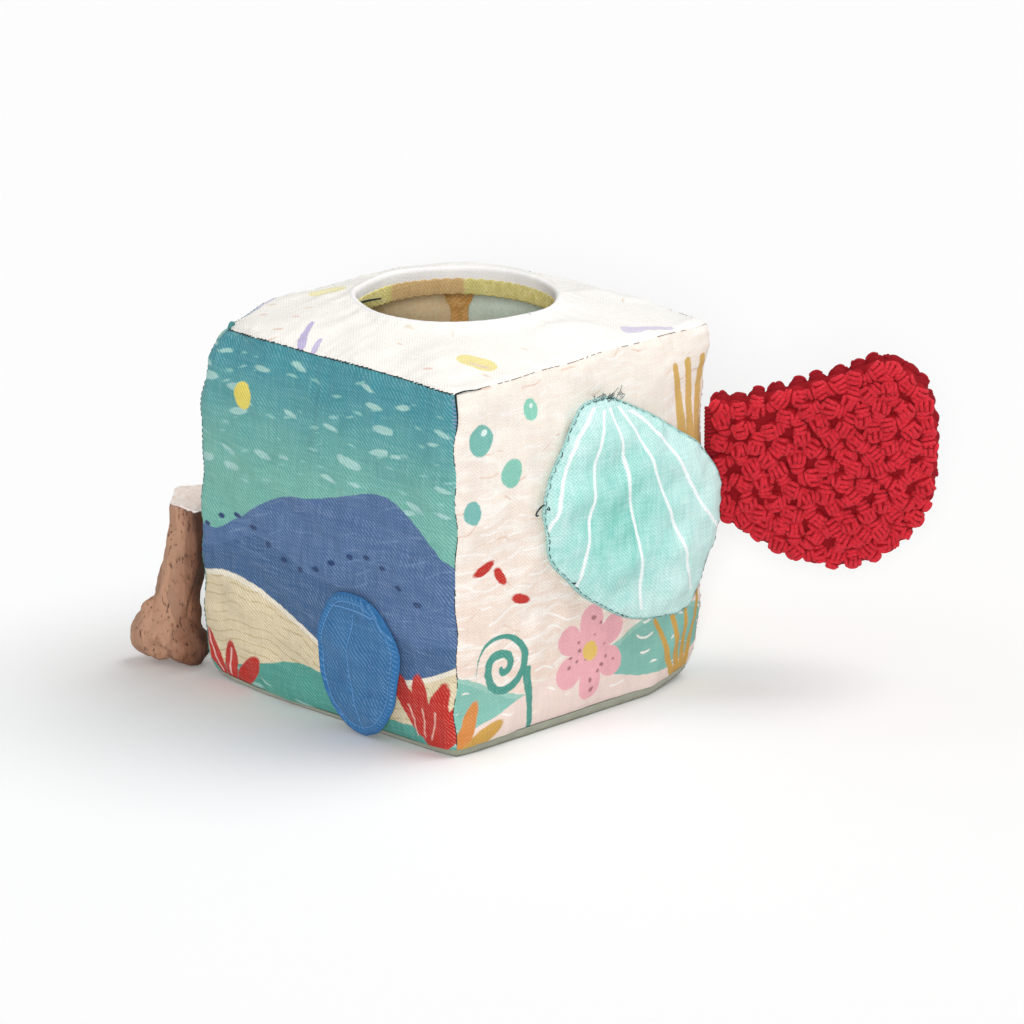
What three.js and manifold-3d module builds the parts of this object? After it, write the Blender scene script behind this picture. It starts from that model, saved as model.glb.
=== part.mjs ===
// A soft tissue box toy: a padded fabric cube with a round hand hole in its top, three folded cloths inside,
// and a different thing to feel on each side. Millimetres, +Z up, origin at the middle of the base.
import * as THREE from "three";
import { mergeVertices } from "three/addons/utils/BufferGeometryUtils.js";
import Module from "manifold-3d";

const wasm = await Module();
wasm.setup();

// Driving sizes of the cube
const cubeEdge = 130;
const coverThickness = 1.2;
const wallFoamThickness = 6;
const topFoamThickness = 4;
const liningThickness = 0.8;
const layerGap = 0.45;
const foamCutShort = 3;
const seamGap = 0.36;

// Driving sizes of the softness: how far the stuffed faces swell and the seams are drawn in
const sideCrown = 3.2;
const topCrown = 11;
const edgeRounding = 11;
const edgeDraw = 1.2;

// Where on the way from a face's middle to a seam the seam's draw starts, how quickly it grows from there,
// and how quickly its top and bottom draws grow from its middle
const drawStart = 0.5;
const nearnessPower = 1.1;
const endPower = 5;

// The most that an upright seam is drawn in along X and Y, that its top sinks and that its bottom lifts, and
// each seam's shares of these at its top, middle and bottom
const fullDraw = 6.5;
const fullSink = 3.6;
const fullLift = 3;
const uprightSeams = [
  { alongX: 1, alongY: -1, topDraw: 0.09, middleDraw: 0.05, bottomDraw: 0.05, topSink: 0.08, bottomLift: 0 },
  { alongX: -1, alongY: -1, topDraw: 1, middleDraw: 0.05, bottomDraw: 0.4, topSink: 1, bottomLift: 0.4 },
  { alongX: 1, alongY: 1, topDraw: 0.09, middleDraw: 0.55, bottomDraw: 0.92, topSink: 0.22, bottomLift: 1 },
  { alongX: -1, alongY: 1, topDraw: 0.77, middleDraw: 0.09, bottomDraw: 0.52, topSink: 0.83, bottomLift: 0.4 },
];

// Driving sizes of the opening
const openingRadius = 35;
const hemWidth = 3.2;
const hemStandsProud = 1.3;
const hemDrop = 4.8;
const facingDrop = 5.4;
const facingThickness = 1;

// Driving sizes of the two flaps
const flapGap = 0.4;
const flapCloth = 0.9;
const leafFromMiddle = 2;
const leafBottom = 0.8;
const leafWidth = 39;
const leafHeight = 49.2;
const leafTipLift = 3;
const scallopLeft = -26.8;
const scallopDrop = 13.6;
const scallopWidth = 81.8;
const scallopHeight = 84.3;
const scallopSeam = 3;
const scallopCrown = 4.2;
const scallopCurl = 8.5;
const scallopCurlPower = 1.8;
const leafCrown = 0.5;

// Driving sizes of the crochet piece and of the tab that carries it
const turnGap = 0.9;
const tabLength = 1.7;
const tabThickness = 1.2;
const tabBottom = 62;
const tabTop = 99;
const crochetBottom = 41;
const crochetReach = 79;
const crochetHeight = 75.2;
const crochetYarn = 3.2;
const crochetCrown = 4.2;
const crochetSeam = 6;
const crochetRootThinning = 0.4;
const crochetRootLength = 20;
const crochetRootGap = 0.6;
const crochetRootPast = 1;

// Driving sizes of the branch and its tape
const branchHeight = 67.6;
const branchFloorGap = 0.4;
const tapeWidth = 6;
const tapeThickness = 1;
const tapeFromSeam = 10;
const tapeShows = 4.4;
const tapeStitchedLength = 13;
const tapeInBranch = 12;
const slotClearance = 0.3;
const slotFromMiddle = 4;

// Driving sizes of the cloths
const clothInOpening = 3.2;
const clothHeight = 12.4;
const clothFolds = 4;
const clothGap = 0.4;

// Sizes that follow
const half = cubeEdge / 2;
const mitre = seamGap / Math.SQRT2;
const foamOuter = coverThickness + layerGap;
const wallFoamInner = foamOuter + wallFoamThickness;
const topFoamInner = foamOuter + topFoamThickness;
const wallLiningOuter = wallFoamInner + layerGap;
const wallLiningInner = wallLiningOuter + liningThickness;
const topLiningOuter = topFoamInner + layerGap;
const topLiningInner = topLiningOuter + liningThickness;
const coverReaches = [half - mitre, half - coverThickness - mitre];
const foamReach = half - foamOuter - foamCutShort;
const liningReaches = [half - wallLiningOuter - mitre, half - wallLiningInner - mitre];
const cutRadius = openingRadius + hemWidth + layerGap;
const clothSquare = Math.SQRT2 * (openingRadius - clothInOpening);
const tapeMiddleY = tapeFromSeam - half;

// Where every layer of a face is sampled, as shares of the half edge: close together where the edge turns.
const gridShares = [0.5, 0.8, 0.93];
const leastCell = 2;

// The grid lines of a layer's two faces, which have their own ends and share the lines between them
function gridLines(ends) {
  const lowest = Math.max(...ends.map(([low]) => low)) + leastCell;
  const highest = Math.min(...ends.map(([, high]) => high)) - leastCell;
  const shares = [...gridShares.map((share) => -share).reverse(), 0, ...gridShares];
  const shared = shares.map((share) => share * half).filter((line) => line > lowest && line < highest);
  return ends.map(([low, high]) => [low, ...shared, high]);
}

function clamp(value) {
  return Math.min(1, Math.max(0, value));
}

// Moves a point of the sharp cube to where the stuffed cube has it. One smooth map for every layer keeps the
// gaps between them.
function soften(x, y, z) {
  const nx = x / half;
  const ny = y / half;
  const nz = (z - half) / half;
  const open = (n) => clamp(1 - n * n);
  const turn = (n) => clamp((Math.abs(n) * half - (half - edgeRounding)) / edgeRounding) ** 2;
  const near = (n) => clamp((n - drawStart) / (1 - drawStart));
  let px = x + nx * (sideCrown * open(ny) * open(nz) - edgeDraw * (turn(ny) + turn(nz)));
  let py = y + ny * (sideCrown * open(nx) * open(nz) - edgeDraw * (turn(nx) + turn(nz)));
  let pz = z;
  if (nz > 0) {
    pz += nz * nz * topCrown * open(nx) * open(ny);
  }
  for (const seam of uprightSeams) {
    const nearness = (near(seam.alongX * nx) * near(seam.alongY * ny)) ** nearnessPower;
    const upper = clamp(nz) ** endPower;
    const lower = clamp(-nz) ** endPower;
    const topPart = (seam.topDraw - seam.middleDraw) * upper;
    const bottomPart = (seam.bottomDraw - seam.middleDraw) * lower;
    const draw = (seam.middleDraw + topPart + bottomPart) * nearness * fullDraw;
    px -= seam.alongX * draw;
    py -= seam.alongY * draw;
    pz += nearness * (seam.bottomLift * fullLift * lower - seam.topSink * fullSink * upper);
  }
  return new THREE.Vector3(px, py, pz);
}

// The four walls: each has its outward direction, and along it the direction that runs to the right
const walls = [
  { name: "front_left", out: [0, -1], right: [1, 0] },
  { name: "front_right", out: [1, 0], right: [0, 1] },
  { name: "back_right", out: [0, 1], right: [-1, 0] },
  { name: "back_left", out: [-1, 0], right: [0, -1] },
];

// A point near a wall, by its distance across to the right, its height and its depth under the sharp face
function wallPoint(wall, across, height, depth) {
  const reach = half - depth;
  const [x, y] = [0, 1].map((axis) => wall.out[axis] * reach + wall.right[axis] * across);
  return soften(x, y, height);
}

function geometryOf(points, triangles) {
  const geometry = new THREE.BufferGeometry();
  const places = points.flatMap((p) => [p.x, p.y, p.z]);
  geometry.setAttribute("position", new THREE.Float32BufferAttribute(places, 3));
  geometry.setIndex(triangles.flat());
  return geometry;
}

// A closed slab between two grids of points with as many rows and columns. The outer grid is seen from
// outside with its columns to the right.
function slab(outerRows, innerRows) {
  const points = [...outerRows.flat(), ...innerRows.flat()];
  const triangles = [];
  const columns = outerRows[0].length;
  const lastColumn = columns - 1;
  const lastRow = outerRows.length - 1;
  const outer = (i, j) => j * columns + i;
  const inner = (i, j) => outerRows.length * columns + outer(i, j);
  const quad = (a, b, c, d) => triangles.push([a, b, c], [a, c, d]);
  for (let j = 0; j < lastRow; j++) {
    for (let i = 0; i < lastColumn; i++) {
      quad(outer(i, j), outer(i + 1, j), outer(i + 1, j + 1), outer(i, j + 1));
      quad(inner(i, j), inner(i, j + 1), inner(i + 1, j + 1), inner(i + 1, j));
    }
  }
  for (let i = 0; i < lastColumn; i++) {
    quad(outer(i + 1, 0), outer(i, 0), inner(i, 0), inner(i + 1, 0));
    quad(outer(i, lastRow), outer(i + 1, lastRow), inner(i + 1, lastRow), inner(i, lastRow));
  }
  for (let j = 0; j < lastRow; j++) {
    quad(outer(0, j), outer(0, j + 1), inner(0, j + 1), inner(0, j));
    quad(outer(lastColumn, j + 1), outer(lastColumn, j), inner(lastColumn, j), inner(lastColumn, j + 1));
  }
  return geometryOf(points, triangles);
}

// A closed skin over a row of rings with as many points each. The last ring joins the first, or both ends
// are closed by a fan to their middle. Rings run so that the skin faces out.
function loft(rings, joined) {
  const points = rings.flat();
  const count = rings[0].length;
  const triangles = [];
  const at = (ring, i) => (ring % rings.length) * count + (i % count);
  const spans = joined ? rings.length : rings.length - 1;
  for (let ring = 0; ring < spans; ring++) {
    for (let i = 0; i < count; i++) {
      triangles.push([at(ring, i), at(ring, i + 1), at(ring + 1, i + 1)]);
      triangles.push([at(ring, i), at(ring + 1, i + 1), at(ring + 1, i)]);
    }
  }
  if (!joined) {
    const middleOf = (ring) => ring.reduce((sum, p) => sum.add(p), new THREE.Vector3()).divideScalar(count);
    points.push(middleOf(rings[0]), middleOf(rings[rings.length - 1]));
    for (let i = 0; i < count; i++) {
      triangles.push([points.length - 2, at(0, i + 1), at(0, i)]);
      triangles.push([points.length - 1, at(spans, i), at(spans, i + 1)]);
    }
  }
  return geometryOf(points, triangles);
}

// A wall layer. low and high are its heights at the outer and at the inner face, and short is how far it
// ends from the mitre with the next wall.
function wallLayer(wall, depths, low, high, short = 0) {
  const faces = [0, 1];
  const reaches = depths.map((depth) => half - depth - mitre - short);
  const heights = gridLines(faces.map((face) => [low[face] - half, high[face] - half]));
  const lines = gridLines(reaches.map((reach) => [-reach, reach]));
  const [outerRows, innerRows] = faces.map((face) =>
    heights[face].map((up) => lines[face].map((across) => wallPoint(wall, across, up + half, depths[face])))
  );
  return slab(outerRows, innerRows);
}

// A level layer of the base. heights and reaches are at the under and at the upper face.
function baseLayer(heights, reaches) {
  const lines = gridLines(reaches.map((reach) => [-reach, reach]));
  const [underRows, upperRows] = lines.map((places, face) =>
    places.map((y) => places.map((x) => soften(x, -y, heights[face])))
  );
  return slab(underRows, upperRows);
}

// A point on the way round a square of a given half side, with a wall cover's grid lines on each side
const [coverLines] = gridLines([[-half, half]]);
const sideCells = coverLines.length - 1;

function squarePoint(index, reach) {
  const side = Math.floor(index / sideCells) % 4;
  const step = (coverLines[index % sideCells] / half) * reach;
  return [[reach, step], [-step, reach], [-reach, -step], [step, -reach]][side];
}

// The angle of each point round the opening
const ringCells = 4 * sideCells;
const ringStart = -Math.PI / 4;
const ringStep = (2 * Math.PI) / ringCells;
const ringAngles = Array.from({ length: ringCells }, (_, index) => ringStart + index * ringStep);

// A level layer of the top, with the round cut. heights and reaches are at the upper and at the under face.
// Its rings go from the cut to the squares that the layers share, and then to its own edge.
function topLayer(heights, reaches) {
  const [, sharedReach, outerReach] = gridShares.map((share) => share * half);
  const ringsAt = (face) => {
    const ring = (share, reach) =>
      ringAngles.map((angle, index) => {
        const [sx, sy] = squarePoint(index, reach);
        const x = cutRadius * Math.cos(angle) * (1 - share) + sx * share;
        const y = cutRadius * Math.sin(angle) * (1 - share) + sy * share;
        return soften(x, y, heights[face]);
      });
    const shared = [ring(0, sharedReach), ring(0.5, sharedReach), ring(1, sharedReach)];
    const last = Math.min(...reaches) > outerReach + leastCell ? [ring(1, outerReach)] : [];
    return [...shared, ...last, ring(1, reaches[face])];
  };
  return loft([...ringsAt(0).reverse(), ...ringsAt(1)], true);
}

// A ring round the opening from its cross-section of [radius, height] pairs, drawn anticlockwise
function openingRing(section) {
  const rings = section.map(([radius, height]) =>
    ringAngles.map((angle) => soften(radius * Math.cos(angle), radius * Math.sin(angle), height))
  );
  return loft(rings, true);
}

// A rounded upright bar as a cross-section, from its two radii and two heights
function barSection(innerRadius, outerRadius, low, high) {
  const middle = (innerRadius + outerRadius) / 2;
  const round = (outerRadius - innerRadius) / 2;
  const steps = 3;
  const section = [];
  for (const [height, start] of [[high - round, 0], [low + round, Math.PI]]) {
    for (let k = 0; k <= steps; k++) {
      const angle = start + (k / steps) * Math.PI;
      section.push([middle + round * Math.cos(angle), height + round * Math.sin(angle)]);
    }
  }
  return section;
}

// A padded shape between two heights over its outline, which runs anticlockwise seen from the front. The
// heights are given by how far out a point lies, from 0 in the middle to 1 at the edge, and
// place(across, up, out) puts each point in the world.
const padShares = [0.4, 0.75, 1];

function pad(outline, backAt, frontAt, place, inset = 0) {
  const middle = outline.reduce((sum, p) => sum.add(p), new THREE.Vector2()).divideScalar(outline.length);
  const clockwise = [...outline].reverse();
  const ring = (share, heightAt) =>
    clockwise.map((p) => {
      const arm = p.clone().sub(middle);
      const shrink = 1 - inset / arm.length();
      const spot = middle.clone().addScaledVector(arm, share * shrink);
      return place(spot.x, spot.y, heightAt(share * shrink, spot.x, spot.y));
    });
  const front = padShares.map((share) => ring(share, frontAt));
  const back = padShares.map((share) => ring(share, backAt)).reverse();
  return loft([...front, ...back], false);
}

function crownShape(share) {
  return 1 - share ** 4;
}

// Points given as shares of a box's width and height
function pointsIn(box, shares) {
  const corner = new THREE.Vector2(box.left, box.bottom);
  return shares.map(([across, up]) => new THREE.Vector2(across * box.width, up * box.height).add(corner));
}

// A closed outline through stretches of points, each a smooth curve, as evenly spaced points
function splineOutline(start, stretches, count) {
  const path = new THREE.Path();
  path.moveTo(start.x, start.y);
  stretches.forEach((stretch) => path.splineThru(stretch));
  return path.getSpacedPoints(count).slice(0, count);
}

const model = new THREE.Group();
const fabric = (color) => new THREE.MeshStandardMaterial({ color, roughness: 0.92, metalness: 0 });

function addMesh(parent, name, geometry, material) {
  const mesh = new THREE.Mesh(geometry, material);
  mesh.name = name;
  parent.add(mesh);
  return mesh;
}

// The four walls: printed cover, foam board, lining
const tan = 0xcdb08a;
const aqua = 0xb3cfc2;
const teal = 0x4f9aa4;
const sand = 0xefe2d8;
const dune = 0xe6d2a8;
const lagoon = 0x8fb7a6;
const coverColors = { front_left: teal, front_right: sand, back_right: dune, back_left: lagoon };
const liningColors = { front_left: tan, front_right: aqua, back_right: aqua, back_left: tan };
const foamColor = 0xf4efe2;

for (const wall of walls) {
  addMesh(
    model,
    `${wall.name}_panel`,
    wallLayer(
      wall,
      [0, coverThickness],
      [mitre, coverThickness + mitre],
      [cubeEdge - mitre, cubeEdge - coverThickness - mitre]
    ),
    fabric(coverColors[wall.name])
  );
  const foamLow = wallFoamInner + layerGap;
  const foamHigh = cubeEdge - topFoamInner - layerGap;
  addMesh(
    model,
    `${wall.name}_foam`,
    wallLayer(wall, [foamOuter, wallFoamInner], [foamLow, foamLow], [foamHigh, foamHigh], foamCutShort),
    fabric(foamColor)
  );
  addMesh(
    model,
    `${wall.name}_lining`,
    wallLayer(
      wall,
      [wallLiningOuter, wallLiningInner],
      [wallLiningOuter + mitre, wallLiningInner + mitre],
      [cubeEdge - topLiningOuter - mitre, cubeEdge - topLiningInner - mitre]
    ),
    fabric(liningColors[wall.name])
  );
}

// The base: suede cover, foam board, lining
addMesh(
  model,
  "base_panel",
  baseLayer([0, coverThickness], coverReaches),
  fabric(0xa0a68c)
);
addMesh(
  model,
  "base_foam",
  baseLayer([foamOuter, wallFoamInner], [foamReach, foamReach]),
  fabric(foamColor)
);
addMesh(
  model,
  "base_lining",
  baseLayer([wallLiningOuter, wallLiningInner], liningReaches),
  fabric(tan)
);

// The top: cream cover, foam ring, lining, and the hem and facing of the round opening
addMesh(
  model,
  "top_panel",
  topLayer([cubeEdge, cubeEdge - coverThickness], coverReaches),
  fabric(0xfbf7ef)
);
addMesh(
  model,
  "top_foam",
  topLayer([cubeEdge - foamOuter, cubeEdge - topFoamInner], [foamReach, foamReach]),
  fabric(foamColor)
);
addMesh(
  model,
  "top_lining",
  topLayer([cubeEdge - topLiningOuter, cubeEdge - topLiningInner], liningReaches),
  fabric(0xd8d0d4)
);
const hemTop = cubeEdge + hemStandsProud;
const hemBottom = cubeEdge - hemDrop;
addMesh(
  model,
  "opening_hem",
  openingRing(barSection(openingRadius, openingRadius + hemWidth, hemBottom, hemTop)),
  fabric(0xfbf9f4)
);
const facingOuter = openingRadius + (hemWidth + facingThickness) / 2;
const facingHigh = hemBottom - layerGap;
addMesh(
  model,
  "opening_facing",
  openingRing(barSection(facingOuter - facingThickness, facingOuter, facingHigh - facingDrop, facingHigh)),
  fabric(0xb9b060)
);

// The leaf flap on the front left wall: two cloths sewn together, hanging from their top edge
const leafBox = { left: leafFromMiddle, bottom: leafBottom, width: leafWidth, height: leafHeight };
const [leafTip] = pointsIn(leafBox, [[0.64, 0]]);
const leafRight = pointsIn(leafBox, [[0.9, 0.25], [1, 0.47], [0.96, 0.7], [0.76, 0.93], [0.46, 1]]);
const leafLeft = pointsIn(leafBox, [[0.17, 0.93], [0.01, 0.72], [0, 0.51], [0.1, 0.28], [0.31, 0.08]]);
const leafPoints = 26;
const leafOutline = splineOutline(leafTip, [leafRight, [...leafLeft, leafTip]], leafPoints);
const leafWall = walls[0];

function leafPlace(across, up, out) {
  const lift = leafTipLift * clamp(1 - (up - leafBottom) / leafHeight) ** 2;
  return wallPoint(leafWall, across, up, -flapGap - out - lift);
}

addMesh(
  model,
  "leaf_back",
  pad(leafOutline, () => 0, () => flapCloth, leafPlace),
  fabric(0x2f5f96)
);
addMesh(
  model,
  "leaf_front",
  pad(
    leafOutline,
    () => flapCloth + layerGap,
    (share) => 2 * flapCloth + layerGap + leafCrown * crownShape(share),
    leafPlace
  ),
  fabric(0x3d74a8)
);

// The scallop flap on the front right wall: two cloths with wadding, curled away from the wall on its right.
const scallopBottom = cubeEdge - scallopDrop - scallopHeight;
const scallopBox = { left: scallopLeft, bottom: scallopBottom, width: scallopWidth, height: scallopHeight };
const [scallopApex] = pointsIn(scallopBox, [[0.36, 1]]);
const scallopLeftEdge = pointsIn(scallopBox, [[0.23, 0.95], [0.11, 0.82], [0.02, 0.65], [0, 0.52]]);
const scallopLowEdge = pointsIn(scallopBox, [[0.07, 0.34], [0.2, 0.21], [0.41, 0.08], [0.57, 0.01], [0.73, 0]]);
const scallopFarEdge = pointsIn(scallopBox, [[0.83, 0.06], [0.97, 0.3], [1, 0.47], [0.96, 0.6], [0.83, 0.73]]);
const scallopUpperEdge = pointsIn(scallopBox, [[0.63, 0.86], [0.47, 0.95]]);
const scallopPoints = 32;
const scallopOutline = splineOutline(
  scallopApex,
  [scallopLeftEdge, scallopLowEdge, scallopFarEdge, [...scallopUpperEdge, scallopApex]],
  scallopPoints
);
const scallopWall = walls[1];

function scallopPlace(across, up, out) {
  const share = clamp((across - scallopLeft) / scallopWidth);
  const curl = scallopCurl * share ** scallopCurlPower;
  return wallPoint(scallopWall, across, up, -flapGap - out - curl);
}

const scallopFrontAt = (share) => flapCloth + layerGap + scallopCrown * crownShape(share);
addMesh(model, "scallop_back", pad(scallopOutline, () => 0, () => flapCloth, scallopPlace), fabric(0x8fd4c8));
addMesh(
  model,
  "scallop_wadding",
  pad(
    scallopOutline,
    () => flapCloth + layerGap,
    (share) => scallopFrontAt(share) - layerGap,
    scallopPlace,
    scallopSeam
  ),
  fabric(0xf6f4ee)
);
addMesh(
  model,
  "scallop_front",
  pad(scallopOutline, scallopFrontAt, (share) => scallopFrontAt(share) + flapCloth, scallopPlace),
  fabric(0xa5e0d8)
);

// The crochet piece at the right upright seam: two yarn layers over stuffing, in the upright plane through
// that seam. It swings with its tab about a line beside the seam. Its outline is measured out from the tab
// and up from the base.
function seamRadius(height) {
  const seam = soften(half, half, height);
  return Math.hypot(seam.x, seam.y);
}

const crochetTurnRadius = Math.max(seamRadius(tabBottom), seamRadius(tabTop)) + turnGap;
const crochetRootRadius = crochetTurnRadius + tabLength;
const crochetBox = { left: 0, bottom: crochetBottom, width: crochetReach, height: crochetHeight };
const crochetRootTop = new THREE.Vector2(crochetRootGap, tabTop + crochetRootPast);
const crochetRootBottom = new THREE.Vector2(crochetRootGap, tabBottom - crochetRootPast);
const crochetLowEdge = pointsIn(crochetBox, [[0.1, 0.2], [0.24, 0.11], [0.41, 0.03], [0.62, 0], [0.82, 0.09]]);
const crochetFarEdge = pointsIn(crochetBox, [[0.96, 0.28], [1, 0.55], [0.98, 0.77], [0.89, 0.93], [0.75, 1]]);
const crochetUpperEdge = pointsIn(crochetBox, [[0.6, 0.94], [0.4, 0.88], [0.19, 0.82]]);
const crochetPoints = 36;
const crochetOutline = splineOutline(
  crochetRootTop,
  [[crochetRootBottom], [...crochetLowEdge, ...crochetFarEdge], [...crochetUpperEdge, crochetRootTop]],
  crochetPoints
);
const crochetPiece = new THREE.Group();
crochetPiece.rotation.z = Math.PI / 4;
model.add(crochetPiece);

const crochetPlace = (across, up, out) => new THREE.Vector3(crochetRootRadius + across, -out, up);

// The layers are sewn flat at the root, and swell within a root length of it
function rootSwell(across) {
  const share = clamp(across / crochetRootLength);
  return crochetRootThinning + (1 - crochetRootThinning) * share * (2 - share);
}

const yarnInner = (share, across) => layerGap / 2 + crochetCrown * crownShape(share) * rootSwell(across);
const yarnOuter = (share, across) => yarnInner(share, across) + crochetYarn * rootSwell(across);
addMesh(
  crochetPiece,
  "crochet_front",
  pad(crochetOutline, yarnInner, yarnOuter, crochetPlace),
  fabric(0xc01a2c)
);
addMesh(
  crochetPiece,
  "crochet_back",
  pad(
    crochetOutline,
    (share, across) => -yarnOuter(share, across),
    (share, across) => -yarnInner(share, across),
    crochetPlace
  ),
  fabric(0xa31526)
);
addMesh(
  crochetPiece,
  "crochet_stuffing",
  pad(
    crochetOutline,
    (share, across) => layerGap - yarnInner(share, across),
    (share, across) => yarnInner(share, across) - layerGap,
    crochetPlace,
    crochetSeam
  ),
  fabric(0xf6f4ee)
);

// The tab along the seam, which the crochet piece hangs on
const tab = addMesh(
  crochetPiece,
  "crochet_tab",
  new THREE.BoxGeometry(tabLength, tabThickness, tabTop - tabBottom),
  fabric(0xa31526)
);
tab.position.set(crochetTurnRadius + tabLength / 2, 0, (tabBottom + tabTop) / 2);

// The carved branch by the left upright seam: a stem that leans out, with two lobes at its foot. away is
// measured out from the back left wall and along from the seam. All are shares of the branch's height.
const branchSections = [
  { away: 0.126, along: 0.118, up: 1, radius: 0.102 },
  { away: 0.127, along: 0.118, up: 0.976, radius: 0.111 },
  { away: 0.139, along: 0.117, up: 0.8, radius: 0.112 },
  { away: 0.178, along: 0.105, up: 0.607, radius: 0.115 },
  { away: 0.216, along: 0.092, up: 0.473, radius: 0.11 },
  { away: 0.237, along: 0.083, up: 0.355, radius: 0.112 },
  { away: 0.246, along: 0.068, up: 0.222, radius: 0.127 },
  { away: 0.249, along: 0.059, up: 0.111, radius: 0.098 },
];
const branchLobes = [
  { away: 0.311, along: 0.021, across: 0.104, tall: 0.142 },
  { away: 0.154, along: 0.098, across: 0.098, tall: 0.112 },
];
const branchSides = 14;
const branchKnurl = 0.05;
const knurlsAround = 3;
const lobeRows = 9;

function solidOf(geometry) {
  const bare = mergeVertices(geometry.deleteAttribute("normal").deleteAttribute("uv"), 1e-4);
  return new wasm.Manifold(
    new wasm.Mesh({
      numProp: 3,
      vertProperties: new Float32Array(bare.attributes.position.array),
      triVerts: new Uint32Array(bare.index.array),
    })
  );
}

function geometryOfSolid(solid) {
  const mesh = solid.getMesh();
  const geometry = new THREE.BufferGeometry();
  geometry.setAttribute("position", new THREE.BufferAttribute(mesh.vertProperties, 3));
  geometry.setIndex(new THREE.BufferAttribute(mesh.triVerts, 1));
  return geometry;
}

function branchStem() {
  const rings = branchSections.map((section, row) =>
    Array.from({ length: branchSides }, (_, k) => {
      const angle = (k / branchSides) * 2 * Math.PI;
      const radius = section.radius * (1 + branchKnurl * Math.cos(knurlsAround * angle + row));
      const x = -half + branchHeight * (radius * Math.cos(angle) - section.away);
      const y = -half + branchHeight * (radius * Math.sin(angle) + section.along);
      return new THREE.Vector3(x, y, branchHeight * section.up);
    })
  );
  return loft(rings.reverse(), false);
}

// The tape's side view: it leans from the branch's slot to its turning line on the wall
const tapeTurnZ = branchHeight + tapeShows;
const wallAtTape = wallPoint(walls[3], -tapeMiddleY, tapeTurnZ, 0).x;
const tapeTop = { x: wallAtTape - layerGap - tapeThickness / 2, z: tapeTurnZ - layerGap };
const [branchTop] = branchSections;
const branchTopX = -half - branchTop.away * branchHeight;
const slotFloor = { x: branchTopX + slotFromMiddle, z: branchHeight - tapeInBranch };

function tapeSolid(grow) {
  const shape = new THREE.Shape();
  const wide = tapeThickness / 2 + grow;
  shape.moveTo(slotFloor.x - wide, slotFloor.z - grow);
  shape.lineTo(slotFloor.x + wide, slotFloor.z - grow);
  shape.lineTo(tapeTop.x + wide, tapeTop.z);
  shape.lineTo(tapeTop.x - wide, tapeTop.z);
  shape.closePath();
  const depth = tapeWidth + 2 * grow;
  const geometry = new THREE.ExtrudeGeometry(shape, { depth, bevelEnabled: false });
  geometry.rotateX(Math.PI / 2);
  geometry.translate(0, tapeMiddleY + depth / 2, 0);
  return geometry;
}

let branch = solidOf(branchStem());
for (const lobe of branchLobes) {
  const ball = new THREE.SphereGeometry(1, branchSides, lobeRows);
  ball.rotateX(Math.PI / 2);
  const across = lobe.across * branchHeight;
  const tall = lobe.tall * branchHeight;
  ball.scale(across, across, tall);
  ball.translate(-half - lobe.away * branchHeight, lobe.along * branchHeight - half, tall + branchFloorGap);
  branch = branch.add(solidOf(ball));
}
branch = branch.subtract(solidOf(tapeSolid(slotClearance)));
addMesh(
  model,
  "branch",
  geometryOfSolid(branch),
  new THREE.MeshStandardMaterial({ color: 0x8f6248, roughness: 0.7, metalness: 0 })
);
addMesh(model, "branch_tape", tapeSolid(0), fabric(0xe6d9bd));

function tapeEndGeometry() {
  const low = tapeTurnZ + layerGap;
  const rings = [0, 0.5, 1].map((share) => {
    const height = low + share * tapeStitchedLength;
    const corner = (side, depth) => wallPoint(walls[3], (side * tapeWidth) / 2 - tapeMiddleY, height, depth);
    const outer = -layerGap - tapeThickness;
    return [corner(-1, outer), corner(1, outer), corner(1, -layerGap), corner(-1, -layerGap)];
  });
  return loft(rings, false);
}

addMesh(model, "branch_tape_end", tapeEndGeometry(), fabric(0xe6d9bd));

// The folded cloths, stacked on the base lining
const foldSegments = 4;

function foldedCloth() {
  const shape = new THREE.Shape();
  const round = clothHeight / clothFolds / 2;
  const reach = clothSquare / 2 - round;
  shape.moveTo(-reach, 0);
  shape.lineTo(reach, 0);
  for (let k = 0; k < clothFolds; k++) {
    shape.absarc(reach, (2 * k + 1) * round, round, -Math.PI / 2, Math.PI / 2, false);
  }
  shape.lineTo(-reach, clothHeight);
  for (let k = clothFolds - 1; k >= 0; k--) {
    shape.absarc(-reach, (2 * k + 1) * round, round, Math.PI / 2, (3 * Math.PI) / 2, false);
  }
  const settings = { depth: clothSquare, bevelEnabled: false, curveSegments: foldSegments };
  const geometry = new THREE.ExtrudeGeometry(shape, settings);
  geometry.rotateX(Math.PI / 2);
  geometry.translate(0, clothSquare / 2, 0);
  return geometry;
}

const clothColors = { tissue_bottom: 0xe9c9a6, tissue_middle: 0xbcd8cf, tissue_top: 0xf0e6d2 };
Object.entries(clothColors).forEach(([name, color], row) => {
  const cloth = addMesh(model, name, foldedCloth(), fabric(color));
  cloth.position.z = wallLiningInner + clothGap + row * (clothHeight + clothGap);
});

export default model;
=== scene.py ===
"""The looks of a soft tissue box toy, a padded fabric cube with a round hand hole, over the model's frame.

Blender works in metres, and the shapes here are worked out in millimetres, as they were cut and sewn.
"""
import logging
import math
from abc import ABC, abstractmethod
from collections.abc import Sequence
from dataclasses import dataclass
from enum import Enum
from typing import Any

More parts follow.
